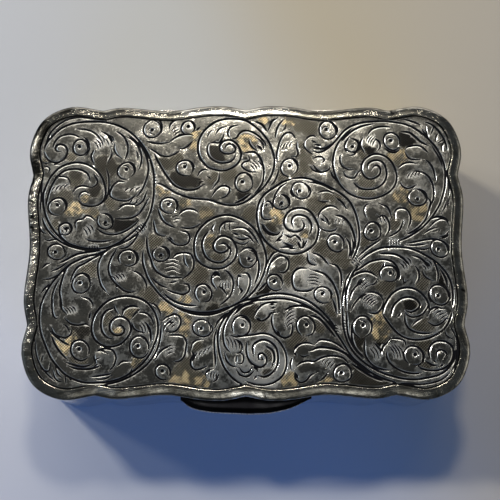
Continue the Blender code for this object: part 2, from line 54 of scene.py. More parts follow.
MM = 0.001
Ring = list[Vector]
Triple = tuple[float, float, float]
Piece = bpy.types.Object
Finish = bpy.types.Material
Socket = bpy.types.NodeSocket
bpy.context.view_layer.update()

# The scrollwork: a row for every cut. A line that starts with two blanks goes on with the row above.
SCROLL_ROWS = {
    "upper left scroll: stems and volute": """
42 -39.2 19.4 -38.8 20.9 -37.5 22.6 -36 24 -34.2 24.9 -32 25.3 -29.6 25.4 -27.5 25.3 -25.5 24.8 -23.5 23.9
  -21.8 22.6 -20.3 20.9 -19.1 19 -18.3 17 -17.8 14.8 -17.7 12.4 -17.8 10 -18.3 7.2 -19.3 4.8 -20.4 3.1
30 -38.9 21 -38.1 23 -36.6 24.7 -34.6 25.9 -32.2 26.3 -30 26 -28.2 26
34 -37.4 20 -37.3 21 -36.4 22.2 -35.2 22.7 -33.7 22.8 -32.1 22.1
42 -39.2 19.4 -38.8 18.2 -37.9 17.3 -36.6 17.05 -35.4 17.6 -34.7 18.7 -34.7 19.9 -35.5 20.7 -36.5 20.7
  -37 20 -36.6 19.3 -35.9 19.3
36 -22.8 22.5 -21.2 21.2 -19.8 19.5 -19 17.3 -18.9 15 -19.6 12.5 -20.3 11.1 -21.2 10
""",
    "upper left scroll: leaves": """
36 -33 23.9 -31.4 23.8 -30 23.4 -28.7 22.4 -27.9 21.1
34 -29.4 19.7 -30 18.4 -29.4 16.7
34 -26.1 19.8 -26 18.6 -26.9 16.9
34 -28.2 23.4 -26.6 22.5 -25.7 21.1
36 -25.3 23.4 -23.9 22.5 -23 20.9 -22.9 19.3 -23.5 17.5
30 -25.5 20.9 -25.6 19.8 -25 18.6 -24.1 18
34 -23.1 22.2 -21.9 21.6 -20.7 20 -20.2 18.2 -20.4 16.4 -20.8 15.5
34 -23.2 13.1 -24.6 13.3 -25.7 12.3 -26.2 10.7 -25.5 9.8 -24.1 9.4 -22.5 9.5 -21 10.7
34 -24.4 8.2 -23.2 8.8 -21.7 8.7 -20.7 9.2
""",
    "left scroll: ring": """
42 -20.3 3.2 -22.5 1.6 -25 0.5 -28 -0.1 -31 0.1 -34 1.1 -36.6 3.4 -38.4 6.6 -39 10.2 -38.4 12.6 -37.4 14.6
  -35.6 16.3 -33.2 17.05 -31 16.8 -29 15.6 -27.6 13.7 -27 11.3 -27.3 9.5 -28.5 8.5 -30 8.3 -31.4 8.6
  -32.3 9.6
40 -38.4 8 -38.2 9.8 -37.6 12 -36.4 14.2 -34.8 15.5 -33 15.8 -31.4 15.4 -30.4 14.6 -30.1 13.4
34 -29.4 14.8 -28.6 13.3 -29.1 12.3 -30.1 12
32 -37.1 14.1 -35.5 14.3 -34.3 13.9 -33.8 12.7
34 -33.4 10.9 -33 11.7 -32.2 12.3 -31.2 12.4 -29.8 12
32 -32.2 9.8 -31.9 10.9 -31 11.3 -30 10.7
""",
    "top middle scroll": """
42 -17.8 18.9 -17 17.3 -16 15.5 -15 14 -13.9 12.6 -12.5 11.8 -10.9 11.5 -9.3 11.8 -8.4 12.5
42 -17.3 12.9 -16.1 12.6 -15 11.9 -13.6 11.0 -12.2 10.4 -10.5 9.9 -8.4 9.7 -6.8 9.5 -4.5 8.7 -2 8.5
  0.2 9.3 2 10.7 3.7 12.4 5.1 14.9 5.6 17.5 5.2 19.5 4.3 21.6 2.7 23.6 0.9 25.1 -0.45 25.8 -2.7 26
  -4.1 25.9 -5.7 25.45 -7.05 24.55 -8.2 23.4 -9.05 21.8 -9.3 20.2 -9.1 18.6 -8.4 17.3 -7.3 16.1 -5.9 15.6
  -4.5 15.4 -3.2 15.7 -2.05 16.4 -1.25 17.3 -0.86 18.6 -1 19.5 -1.6 20.7 -2.6 21.5 -3.6 21.7 -4.55 21.25
  -5.07 20.45 -4.95 19.5 -4.3 18.9 -3.2 18.8 -2.3 19.1 -1.93 19.8 -2.4 20.6 -3.2 20.9 -3.86 20.45 -4 19.8
40 -7.15 21 -7.5 19.8 -7.15 18.4 -6.1 17.4 -4.8 16.95 -3.2 17.15 -2.27 17.85 -1.93 18.7
34 -15 21.1 -13.6 22.2 -12.3 22.7 -10.9 22.8 -10.1 22.5
34 -10.2 21.6 -10.9 20.7 -12 19.9 -13.2 20
34 -18.8 20 -17.5 19.2 -16.3 18.4 -15 18.3 -13.5 18.9 -12.9 19.6
34 -19.4 21.4 -18.2 21.1 -16.5 20.9 -14.8 21.2
30 -9.3 14.3 -8.9 15.2 -7.95 15.7 -7.2 15.4
30 -7.5 14.3 -6.6 13.75
36 -5.2 14.8 -5.2 13.6 -5.8 12.7 -6.6 11.6
34 -6.6 10.2 -5.9 11.4 -5 12.2 -4.1 12.4 -3.1 12 -3.2 11.1 -3.9 10.2 -5 9.8
34 -7.5 22.2 -7.15 23.2 -6.4 23.75
34 -5.9 22.7 -5.45 23.6 -4.7 24.2 -3.6 24.4
34 -7.05 20.9 -6.1 21.2 -5.2 21.1 -4.4 22.3 -4.2 23.2
36 -2.95 21.9 -3.5 22.7 -3.3 23.9 -2.5 24.5 -1.4 24.7
36 -2.6 21.9 -1.8 22.05 -1.25 22.95 -0.45 23.5 0.7 23.5 1.8 22.95 2.95 22.05 3.8 21 4 20.2
34 2 22 2.8 21.6 3.4 20.7 3.5 19.8
42 0.7 21.8 0.75 20.9 1.4 20 2.3 19.4
24 2.3 20.4 2.7 20
38 -0.45 18.9 0.9 19.2 2.05 19 2.95 17.7 3.45 16.1 3.5 14.5 3.2 13 2.5 11.8 1.6 10.9
34 0.45 18.6 0.7 17.5 -0.3 17.2 -0.8 16.6 -0.45 15.9 0.7 15.2 2.05 15.1
36 4.3 23.4 4.66 24.3 5.2 25.5 6.4 26.25
36 5.8 22.05 5.9 23.2 6.5 24.8 7.5 25.9
32 7.05 23.4 7.7 24.1 7.85 25.1
60 1.7 25.45 3.2 24.8 4.2 23.3
36 6.1 17.3 6 18.6 6.25 20 6.8 21.8 7.5 22.8 8.2 23.2 9.1 22.95 9.66 22.05
36 10 21.25 9.9 20 10.2 19.1 9.8 18.2 8.8 18.3
""",
    "upper right scroll": """
42 13 19.4 14.4 19.1 15.95 19.9 17.3 21.2 18.9 23.2 20.5 24.4 22.5 25.1 24.8 25.4 27.1 25.5 28.9 25.3
  31 24.9 33 24 34.6 22.8 36 21.4 37.1 20 38 18.2 38.5 16.4 38.6 14.5 38.45 12.3 38 10.5 37.2 8.4 35.6 6
  33.5 3.8 31 2.2 29 1.3
40 20.7 24 19.1 22.4 17.8 20.7 17.2 19.1 16.9 17.3 17 15.8 17.5 14 18.4 12.3 19.8 10.9 21.4 10.1 23.2 9.7
  25 9.9 26.6 10.45 28 11.4 28.9 12.7 29.25 14.3 28.9 15.9 28.2 17.3 27.1 18.3 25.7 18.8 24.4 18.6
  23.2 17.8 22.5 16.7 22.4 15.45 23 14.2 24 13.7 25.2 14 26 14.8 26.1 15.8 25.5 16.5 24.8 16.3 24.5 15.7
40 23.7 15.9 23.7 16.8 24.6 17.4 25.7 17.5 26.75 16.9 27.2 15.7 27.2 14.1 26.4 12.7 25.05 11.8 23.45 11.6
  21.9 11.9 20.8 13
34 19.6 19.1 19.25 20.2 19.6 21.4 20.3 22.4
34 21.9 20.9 21.6 19.5 20.95 18.6 20.2 18.5
34 23.2 18.9 22.4 20.2 22.4 21.4 23 22.3
36 23.7 22.5 24.4 23.6 25.5 24.2 26.9 24.4 28.5 24.2
34 25.2 22.05 26.1 21.1 26.1 20 25.4 19.2
60 30.3 23.3 31.9 23.2 33 22.3 34.1 21.25 35.5 20.45
34 31 19.6 31.3 20.1 32.1 20.4 33.5 20.5 34.6 20 35.5 18.9
34 30.9 19.3 31.6 17.95 33 17.6 34.1 17.7
36 29.6 15.9 30.5 16.8 31.9 17.1 33.2 16.8
38 32.3 15.3 33.9 15.2 35.3 14.3 36.1 12.7 36.3 11.1 36.1 9.6 35.4 8.2
34 29.7 13.2 30.3 12.2 31.4 11.8 32.5 12.2 33 12.6
36 34.9 17.6 35.95 16.6 36.5 15 36.75 13.2
28 34.4 23.9 34.8 23.2 35.7 21.8
28 35.3 24.5 35.2 23.4 35.7 22
28 36.6 24.5 36.6 23.8 36 22.6
30 37 21.1 37.1 22.3 37.7 23.1
28 37.3 20.9 38.2 21.5 38.9 22.1
30 38.3 19.1 38.2 20.4 38.8 21.3 39.3 21.2
28 36.2 20.45 37.5 18.2 38.2 16
34 18.4 18.4 18.3 17.2 18.8 16.2 19.9 15.6 21 15.6
34 18.9 15.3 19.2 14.4 20.2 13.9 21.1 14 21.6 14.9 22.3 15.6
36 13 16.6 13.9 15.5 14.8 15.1 15.95 15.5 16.4 16.4
32 13 17.7 13.7 18.2 14.8 18.2 15.3 17.5 14.6 16.9
36 13 20 14.1 19.8 15.5 20 16.9 20.9 18.5 22.5
""",
    "left scroll: inside and lower stem": """
34 -35.7 4.8 -35.7 3.4 -35.2 2.2 -33.9 1.1
34 -32.5 3.9 -32.7 5.1 -32.1 5.7 -31.2 5.8 -30.6 6.5 -29.6 6.25 -28.9 5.4
38 -30.5 1.8 -29.4 1.4 -27.5 1.3 -25.5 1.6
34 -24.6 7.5 -23.7 8.5 -22.5 8.75 -21.2 8.5
36 -25 5.9 -23.5 5.8 -21.6 6.1 -20.3 7 -19.4 8.6 -18.7 10
36 -28.5 3.9 -27.1 2.95 -25 2.7 -23 3.4 -21.4 4.5 -20.5 5.5
40 -26.6 0.2 -25 0.7 -23.4 1.7 -21.6 3.2 -20.3 4.5
""",
    "lower left scroll: fan of stems": """
44 -27.6 -0.4 -30 -0.7 -32.1 -1.1 -33.9 -2.05 -35.5 -2.95
32 -38.6 -3.9 -38 -3.1 -37.1 -2.85
32 -37.1 -4.5 -36 -4.1 -34.8 -3.4 -33.9 -2.6
32 -38.5 -6 -37.1 -5.9 -35.7 -5.2 -34.9 -4.4
34 -38.6 -8.6 -38.2 -7.95 -37.1 -6.8
42 -25.6 0 -28 -1 -30.3 -1.6 -33.5 -3.2 -34.4 -4.8 -34.9 -6.4 -35.2 -8.2 -34.9 -9.8 -34.6 -11.2
36 -26.5 -0.6 -29 -1.9 -30.7 -2.95 -31.9 -3.6 -32.7 -4.8 -33.1 -5.9 -33.2 -6.6
36 -35.3 -5.9 -36.2 -7.7 -36.6 -9.6 -36.5 -11.5
40 -33 -2.7 -35 -4.6 -36.8 -6.9 -38.1 -9.3 -38.7 -11.4
36 -26.4 -0.5 -27.1 -0.9 -28 -2.7 -28.1 -4.1 -27.9 -5.5 -27.3 -7.3 -26.2 -8.6
38 -24.6 0.1 -25 -0.8 -25.7 -2.05 -26.1 -3.6 -25.8 -5.2 -25 -6.4 -24.1 -7.3 -23 -8.2 -21.9 -8.5 -20.7 -8.3
34 -21.6 -4.3 -20.3 -4.8 -19.4 -5.7 -18.8 -7 -19 -8.1
26 -24.7 -6.6 -24.4 -8
34 -20.4 2.9 -21.8 0.9 -23 0.1 -24.2 0
""",
    "middle scroll: ring": """
42 -18.9 2.5 -18.9 0.9 -18.6 -0.7 -18 -2.3 -17.6 -3.6 -16.6 -4.8 -15 -5.6 -13.2 -5.7 -12 -5.7
42 -19.7 -0.5 -19.6 -2.7 -19.2 -4.1 -18.5 -5.9 -17.3 -7.7 -15.7 -9.5 -14 -10.8 -11.8 -12 -9.5 -12.7
  -7 -12.8 -4.7 -12.2 -2.3 -11 -0.45 -10 1.4 -8.4 2.7 -6.4 3.5 -4.5 3.9 -2.7 3.75 -0.9 3.2 0.9 2.5 2.5
  1.4 4.1 0 5.2 -1.4 6 -2.95 6.5 -4.5 6.5 -6.1 6 -7.7 5 -9 3.6 -9.7 2.05 -9.9 0.45 -9.7 -1.4 -8.9 -2.7
  -7.5 -3.6 -5.9 -4 -4.1 -3.75 -2.7 -2.8 -1.9 -1.6 -1.7 -0.2 -2.05 0.9 -2.7 1.8 -3.9 2.4 -5 2.3 -5.9 1.5
  -6.25 0.45 -5.9 -0.45 -5 -0.9 -3.9 -0.7 -3.3 0 -3.6 0.7 -4.3 1 -5 0.7
40 -7.05 3.4 -7.95 2.3 -8.4 0.9 -8.2 -0.45 -7.5 -1.8 -6.4 -2.6 -5 -2.85 -3.9 -2.4 -3.2 -1.6 -2.85 -0.45
  -3.1 0.45
36 -17.8 -5.7 -16.4 -7 -14.8 -7.7
""",
    "middle scroll: leaves": """
34 -17.8 5.7 -17.5 4.1 -17.1 2.95 -16 2.4 -15 2.4
40 -16.9 7.95 -16.5 6.6 -15.7 5.2 -14.4 4.4 -13.4 4
30 -14.7 2.3 -13.9 1.5
34 -6.25 3.2 -6.5 4.1 -5.9 4.9
36 -5 3.2 -5 4.1 -4.3 5 -3.2 5.3 -2.05 5.1
36 -2.6 3.75 -1.6 4.1 -0.2 4 0.9 3.2 1.8 2.05 2.4 0.9
34 -2.3 1.5 -1.4 0.9 -0.2 0.8 0.5 1.3
38 -0.45 2.7 0.7 2.3 1.6 1.1
46 2.3 -1.8 2.5 -3.6 2.2 -5.5 1.6 -7
34 -1.4 -5 -1.7 -6.4 -1.5 -7.6
36 -0.9 -4.9 0.2 -4.8 0.8 -5.7 0.7 -7.3 0 -8.9 -1.1 -10
36 -5.5 -8 -6.5 -6.6 -6.5 -5.5 -5.9 -4.7 -5.2 -4.8 -4.8 -5.7
36 -4.1 -4.1 -3.2 -4.8 -2.5 -5.9 -2.4 -7.3 -2.8 -8.9 -3.9 -10.2 -5 -11
34 -5 -7.3 -4.1 -8.2 -3.6 -9.1
34 -13 6.4 -12.3 7.3 -11.1 7.8 -9.8 7.6 -9 6.9
34 -12.7 4.1 -10.9 3.9 -9.55 4.2 -8.6 4.9
34 -12.5 3.4 -11.25 3.2 -10.7 2.3 -11 1.1 -12.05 0.6 -13.6 0.8 -15 2.1
36 -14.1 -2 -13.2 -1.1 -11.8 -0.8 -10.5 -1.1 -9.9 -2.3 -10 -3.9 -10.9 -5.1 -12.05 -5.9
32 -11.8 -1 -11.7 -2.7 -11 -3.6
36 -12.05 -6.9 -10.9 -7 -10.7 -8.2 -11.8 -8.9 -13.4 -8.6 -15 -8
32 -14.6 -6.7 -13 -6.4
""",
    "scroll right of the middle": """
44 9 13.75 7.3 13.2 5.9 12.3 4 11 2.7 9.4 2.1 7 2.2 5.2 2.6 3.4 3.6 1.6 5 0.2 6.6 -0.7 8.4 -1.1 10.2 -1
  11.8 -0.3 13.1 0.9 13.75 2.5 13.9 4.3 13.3 5.9 12.3 7.3 10.9 7.95 9.55 7.9 8.2 7.2 7.4 5.9 7.4 4.5
  8.2 3.5 9.55 3.2 10.7 3.6 11.2 4.6 10.8 5.4
42 12 2.5 12.6 3.9 12.4 5.2 11.6 6.25 10.2 6.6 9.1 6.25 8.75 5.2 9.1 4.1
38 7.95 12.95 6.8 12.3 5.9 11.1 5.45 10 5.3 8.8
36 3.6 9.6 3.1 8.4 2.95 7.3 3.2 5.9 4.3 5.6 5.2 5.9
36 2.95 4.8 3.6 3.4 4.8 2.6 6.1 2.7 6.6 3.4
30 3.6 8.9 4.3 9.3 5 8.8 5.2 7.6
34 5.5 1.1 6.1 1.8 6.9 2.5 7.05 3.4
38 6.7 0.1 8 0.3 9 0
34 9.8 0.9 10.5 0 11.1 0.5 11.8 1.8
32 8.4 2.1 9.55 2.6 10.2 2
""",
    "scroll right of the middle: leaf and buds under it": """
38 3.9 -5.5 4.5 -3.2 5.45 -2.05 6.6 -1.4 7.7 -1.8 8.2 -2.7 7.95 -4.1 7.05 -4.8 6.1 -4.5
34 3.7 -4 4.3 -2.4 5.2 -1 6.4 -0.6
38 11.8 -3.9 10 -3.9 8.9 -5 8.75 -6.6 9.3 -8 10.7 -8.3 12 -8.2 13.2 -7.5
""",
    "middle right: stems that run down to the tie": """
40 17.3 10 18.5 9.1 19.4 7.7
42 8.9 13.75 10.7 14 12.3 13.75 14 13.1 16 12.2 18 11 19.6 9.7 20.5 8.3 21.2 6.4 21.6 4.3 21.7 2.5
  21.5 0.8 20.9 -0.9 20.1 -2.4
50 17.1 6.5 18.45 6.25 19.6 5.2 20.3 3.9 20.7 2.5 20.9 1.1 20.8 0
34 13.9 9.5 14.8 9.1 16 9.3
36 13.8 5.7 14.1 7 15 7.95 16.2 8.4 17.3 8.1 17.9 7.5
34 14.1 4.1 15 3.5 16.2 3.3 17.2 3.6 17.5 4.1
30 15 6.4 15.7 5.45 15.95 4.5
44 19.1 2.05 19.8 0.9 19.9 -0.7 19.5 -2
34 23.2 5.8 22.7 7 22.8 8.2 23.7 8.9
36 25.7 8.8 27.1 8.2 27.8 7 27.9 5.9
38 25.3 5.9 26.2 6.5 27 6 27.5 4.8 27.4 3.4 26.6 2.3
34 28.7 5.7 28.5 6.8 28.9 7.6 29.8 7.95 30.95 7.6 31.6 6.4 31.5 5 30.9 3.7
38 30.2 5.7 29.9 4.5 29.25 3.4 28.2 2.7 27.1 2.2
36 35.4 8.2 34.6 5.9 33.5 4.5 32.1 3.4 30.5 2.6
""",
    "right edge: sprays": """
32 38.7 9.5 38.3 8.2 37.6 7
32 35 3.9 35.95 5 37.3 5.8 38.5 5.5 38.9 4.5
32 37.1 2.3 38.2 2.5 38.9 3.4
26 33.7 2.6 34.8 3.4 36.2 4 37 4.1
24 35.5 3.2 36.9 3.5
34 30.7 0.9 32.3 1.25 34.1 1.6 35.7 1.8 37.3 1.5 38.2 0.7 38.6 -0.7
34 30.4 0.6 32.5 0.6 34.5 0.8
""",
    "lower right scroll: stems and spiral": """
44 21.4 -2.6 22.8 -1.4 24.4 -0.45 26 0.1 27.8 0.25 29.6 0.2 31.2 0 33 -0.7 34.6 -1.6 36.2 -2.7 37.5 -4.1
  38.5 -5.7 39 -7.5 39.1 -9.3 38.9 -11.4
38 21.2 -1.8 22.1 -0.9 23.45 0.2 24.8 1.1 25.8 1.7
40 20.8 -4.5 22.1 -3.6 23.45 -2.7 24.8 -2.3 26.4 -2.15 27.8 -2.6 28.7 -3.6 29.1 -5 29 -6.3
50 25.4 -1.1 27.1 -1 28.7 -1.25 30.05 -2.05 30.95 -3.2
34 32.1 -3.4 32.8 -4.5 32.8 -5.9 32.1 -6.9
30 29.9 -5.7 29.9 -6.8 30.7 -6.2
44 31.6 -1.4 33 -1.8 34.1 -2.7 34.8 -3.6
34 33.6 -4.1 33.6 -5 34.4 -5.9 35.5 -6.4
36 35.5 -2.3 36.2 -3.6 36.5 -5.2 36.2 -6.7
56 36.9 -4.1 37.8 -5.7 38.2 -7.6
42 25.7 -12.7 26 -11.3 26.6 -10.1 27.5 -8.9 28.9 -7.95 30.5 -7.6 32.1 -7.95 33.5 -9.1 34.4 -10.6
  34.6 -12.2
""",
    "lower right scroll: leaves and the stems left of them": """
44 20 -4.5 19.1 -5.9 18.6 -7.7 18.2 -9.5 18.1 -11.4
42 21.6 -3.2 20.5 -4.5 19.6 -6.4 19 -8.2 18.8 -10 18.9 -12.2
36 19.8 -5.9 20.95 -5 22.5 -4.5 23.9 -4.8 25 -5.7
34 25 -5.9 24.4 -6.9 23.4 -7.2
36 19.4 -10.4 20 -8.4 21.2 -7 22.3 -6
36 22.8 -8.6 24.1 -8.5 25.4 -9.1 25.9 -10.2
36 19.7 -12.2 20.4 -10.8 21.6 -9.4 22.6 -8.8
40 12.5 -0.8 14.1 -1.4 15 -2.3 15.7 -3.2
40 16 -3 17.3 -3.4 18 -4.8 18.1 -6.4 17.9 -7.8
46 12.5 -4.2 14.6 -4.8 15.7 -5.7 16.6 -7 17.3 -8.9 17.5 -10.6 17.6 -12.6
""",
    "lower left scroll": """
42 -38.3 -9.7 -38.7 -11.3 -38.8 -13.1 -38.7 -14.7 -38.3 -16.5 -37.5 -18.5 -36.4 -20.8 -35 -22.6
  -33.45 -24.1 -31.6 -25 -29.8 -25.5 -27.5 -25.5 -25.3 -25.3 -23.2 -24.7 -21.4 -23.7 -19.6 -22.3
  -18.2 -20.6 -17.3 -18.8 -16.6 -16.7 -16.5 -14.7 -16.9 -12.9 -17.8 -11.3 -19.1 -10.1 -20.7 -9.45
  -22.5 -9.2 -24.4 -9.45 -26.2 -10.25 -27.5 -11.5 -28.45 -12.9 -28.9 -14.45 -28.9 -16 -28.3 -17.4
  -27.3 -18.3 -26 -18.8 -24.4 -18.7 -23 -18 -22 -16.8 -21.5 -15.5 -21.9 -14.1 -22.8 -13.3 -23.9 -13.1
  -24.9 -13.55 -25.5 -14.45 -25.5 -15.6 -24.8 -16.5 -23.7 -16.7 -22.9 -16.2 -22.8 -15.4 -23.45 -14.8
  -24.2 -15.1
40 -24.8 -11.5 -26.2 -11.95 -27 -13.1 -27.2 -14.7 -26.9 -16.05 -25.95 -17.1 -24.7 -17.4
40 -36.5 -16.5 -35.7 -18.3 -34.6 -19.9 -33.2 -21.3
46 -33 -22.4 -31.4 -22.9 -29.6 -23 -28.2 -22.75 -27.1 -22.4
38 -28.7 -24.45 -27.1 -24.2 -25.3 -23.9 -24.9 -23.5
36 -35 -9 -35 -10.4 -34.6 -11.7 -33.7 -12.6
36 -30.95 -9.4 -29.6 -9.7 -28.8 -10.8 -28.9 -11.7
44 -29.25 -12.2 -29.5 -13.8
36 -33.9 -13.5 -33 -14.45 -31.4 -14.75 -30 -14.5 -29.3 -15
34 -36.4 -9.7 -36.5 -11.3 -36.2 -12.9 -35.6 -13.5 -35.1 -13.2
36 -36.5 -15.1 -35.95 -16.3 -34.8 -16.95 -33.7 -17.1 -32.8 -16.5 -32.7 -15.5
30 -34.25 -14.6 -33.45 -15.1 -33.1 -16.05
34 -27.5 -19.3 -26.2 -19.1 -24.8 -19.5 -24.2 -20.8 -24.6 -22.4 -25.5 -23.3
34 -28.2 -20.2 -28.3 -21 -27.8 -22
34 -23.9 -22.4 -23 -21.5 -21.6 -21.6
34 -21.1 -22.6 -21.6 -23.8 -22.8 -24.6
34 -20.3 -12.3 -18.9 -12.4 -17.8 -13.3 -17.3 -14.7
34 -21.4 -14.2 -21.1 -15.25 -20.3 -15.9 -18.9 -16.2
50 -18.9 -14.1 -18 -15.6 -17.8 -16.95 -17.8 -18.1
46 -23.2 -12.9 -23.1 -11.95 -22.3 -11.3 -21.2 -11.1 -20.05 -11.4
32 -21.5 -13.5 -20.7 -12.4 -19.9 -11.7
30 -24.8 -10.9 -24.6 -11.9 -23.9 -12.6
30 -37.9 -20.4 -38.1 -21.7
30 -38.45 -21.95 -37.8 -23.1 -36.6 -23.3 -36.4 -21.7
28 -35.95 -23.1 -35.3 -24.9 -33.9 -25.4
28 -35.5 -22.2 -35 -23.8 -33.9 -24.7
28 -39.4 -17.5 -39.2 -19.8 -38.4 -22 -36.9 -23.9 -35.4 -25.2
36 -17.1 -21.5 -16.2 -19.9 -15.05 -19 -14 -18.5
32 -15.7 -14 -14.8 -13.1 -13.6 -12.9
32 -15.5 -16 -15.2 -14.9 -14.4 -14.2 -13.4 -14.2
32 -18.2 -10.4 -16.9 -11 -16.2 -12.2 -15.95 -13.1
""",
    "bottom middle scroll": """
36 -14.6 -13.3 -13.6 -12.6 -12.5 -13.1 -12.2 -14.2 -12.7 -15.4 -13.6 -16.05 -15 -16
36 -14.7 -16.7 -13.2 -16.6 -11.8 -16.8 -11.1 -17.9 -11.25 -19.2 -11.5 -20.6 -12.3 -21.5 -13.6 -21.7
36 -10.2 -19.45 -10.1 -18.3 -9.3 -17.6 -8.2 -17.5
38 -9.7 -20.1 -10.2 -20.9 -10.3 -22.2 -9.55 -23.1 -8.2 -22.9 -7.05 -22.3
32 -7.3 -24.7 -7.5 -23.8 -6.8 -23.1 -5.8 -22.9
32 -6.4 -25.6 -5.45 -24.9 -5 -23.8
38 -5.9 -15.4 -5.2 -14 -4.1 -12.9 -2.7 -12.2
38 -5.5 -15.4 -5.9 -17.2 -5.9 -19.45 -5.7 -21.3 -5.8 -22.8
42 -0.9 -10.7 -2.6 -11.9 -4 -13.4 -4.9 -15 -5.3 -16.8 -5.2 -18.8 -4.8 -20.8 -4.1 -22.6 -2.95 -24.2
  -1.6 -25.4 -0.5 -25.9
38 -0.45 -10.6 -2.3 -11.95 -3.4 -13.5 -4.2 -15.4 -4.3 -17.2 -3.9 -18.8 -2.95 -19.9
42 -2.3 -12.9 -1.4 -11.95 0 -10.8 1.8 -10.1 3.9 -9.9 6.4 -9.7 8.6 -10 10.9 -10.8 13 -12 14.8 -13.6 16 -15
  17.2 -16.7 18.5 -18.8 19.8 -20.8 21.6 -22.4 23.45 -23.8 25.7 -24.9 28 -25.6
44 -2.3 -11 -0.45 -10.1 1.6 -9.7 3.9 -9 6.1 -8.75 8.4 -9 10.7 -9.7 12.7 -10.8 14.8 -12.7 16.2 -14.45
  16.9 -15.6
34 -2.05 -17.4 -1.1 -17.9 -0.7 -18.8 -1.1 -19.9 -2.05 -20.1
36 -4.1 -19.9 -3.6 -21.5 -2.7 -22.4 -1.6 -22.7
34 -1.8 -20.4 -1.9 -22
36 -1.8 -23.1 -1.1 -24.1 0 -24.45 0.9 -24 1.6 -23.2
32 -1.4 -22.6 -0.45 -23.7 0.7 -23.4 1.1 -22.4
36 -2.9 -16.6 -1.9 -17 -0.45 -16.8 1.4 -16.6 3.2 -16.3 5 -16.8 6.4 -18.1 7.3 -19.7 7.6 -21.5 7.3 -23.3
  6.4 -24.7 5 -25.6 3.2 -26 1.4 -25.8 0 -25.3
40 0.1 -17.8 0.05 -19.9 0.6 -21.5 1.4 -22.2 2.7 -22.7 3.75 -22 3.8 -20.8 2.95 -20 2.3 -20.4 2.4 -21.3
  3 -21.4
44 1.4 -20.6 1.25 -18.8 2.05 -17.9 3.4 -17.5 4.8 -18.1 5.7 -19.2 6 -21 5.7 -22.6 4.8 -23.8 3.4 -24.5
  2.2 -24.2
44 7.2 -12.2 8 -11.5 9.1 -11.15 10.7 -11.15 12.3 -11.7 14 -12.8 15.5 -14.4
38 5 -12.6 4.8 -14 5.2 -15.6 6.1 -16.7 7.3 -17.2 8.4 -16.7 8.75 -15.6 8.6 -14.45
36 1.6 -13.1 2.05 -11.95 3.2 -10.8 4.8 -10.4 6.1 -10.6
38 1.9 -13.7 2.95 -14 4.1 -13.4 4.8 -12.4 5.9 -12.4
34 8.9 -20.1 9.1 -19.2 10.2 -18.3 11.6 -18.1 12.7 -18.5
34 10 -20.3 10.7 -20.8 11.8 -20.4
50 12 -19.7 13.3 -19 14.8 -19 16.6 -19.3 18.5 -20.1 19.8 -21.3 21.4 -22.6 23 -23.8
34 9.3 -22.6 10.2 -21.8 11.6 -21.5 12.8 -21.6 13.9 -21 15.3 -20.6 16.9 -20.6 18.2 -21 19.1 -22
34 8.7 -20.6 8.2 -22.2 8.5 -23.2
34 9.1 -23.5 9.1 -24.7 10 -25.5 11.1 -25.25 12 -24.2 12.95 -23.7
34 13.4 -25.4 14.6 -24.5 15.3 -23.5
36 13 -18.3 13.9 -17.5 15.7 -17.75 17.3 -18.5 18.7 -19.7
""",
    "lower right scroll: ring and leaves": """
44 25.7 -12.7 26.2 -13.5 27.3 -15.1 28.5 -16.4 30.05 -17.3 31.9 -17.6 33.7 -17.4 35.5 -16.7 37.1 -15.6
  38.2 -14 38.8 -12.2
42 27.3 -13.1 27.5 -11.7 28.2 -10.6 29.4 -9.7 30.95 -9.45 32.3 -10 32.8 -11.05 32.1 -11.95 30.95 -12.4
  30 -11.9
40 34.4 -10.6 34.1 -11.7 33 -12.9 31.6 -13.3 30.5 -13 29.9 -12.3
42 28.4 -13.4 29.2 -12.4
44 29.9 -12.6 29.9 -14.2 30.5 -15.4 31.9 -16.2 33.5 -16.4 34.8 -16.3
30 30.95 -15.1 32.1 -14 33.2 -13.5
34 34.25 -12.9 34.8 -11.8 35.95 -11.4 37.2 -11.8
38 34.1 -14.2 35.3 -14.9 36.6 -14.6 37.8 -13.5
36 22.8 -12.4 24.4 -12.6 25.3 -11.95 25.8 -11.05 25.9 -10.2
44 18.2 -11.2 18.2 -12.8 18.2 -14.5 18.6 -16.7 19.4 -18.8 20.7 -20.6 22.5 -22.2 24.6 -23.4 26.6 -24.2
  28.9 -24.8 31.2 -25 33 -24.8 35.7 -24.2 37.6 -23 38.9 -21 39.2 -19.2
40 18.95 -12.2 18.95 -14.7 19.25 -16.95 20.3 -19.2 21.9 -21
36 19.7 -14.6 19.8 -15.8 19.9 -17.6 20.7 -19.5 22.1 -20.8
36 22.3 -17.4 22.1 -19.3 22.5 -21 23.7 -22.4 25.3 -23.1 27 -23.3
36 23.9 -18.1 24.8 -19 25.4 -19.7 25.6 -18.8 26.4 -18.1 27.1 -17.2
42 26.2 -19.7 26.4 -21.3 27.5 -22.6 29.1 -23.5 31 -23.9 32.6 -23.8
36 27.1 -17.4 28.4 -17.3 29.7 -17.8 29.9 -18.8
40 34.4 -21.3 34.1 -19.7 34.8 -18.3 36.2 -17.75 37.8 -18.1 38.7 -19.2 38.7 -20.6 38.1 -21.95 37.1 -22.8
  35.7 -23.3 33.9 -23.3 32.5 -22.9 31.9 -22.2
34 36.9 -21 37.5 -20.4 37.1 -19.7 36.2 -19.45 35.5 -20.1 35.7 -21
30 28 -25.7 30.3 -25.8 32.5 -25.9 34.6 -25.6 36.4 -25 38 -23.7
28 38.2 -14.9 38.9 -16.05 39.3 -17.2
28 37.3 -15.6 37.5 -16.7 38.45 -17.4 39.1 -17.5
""",
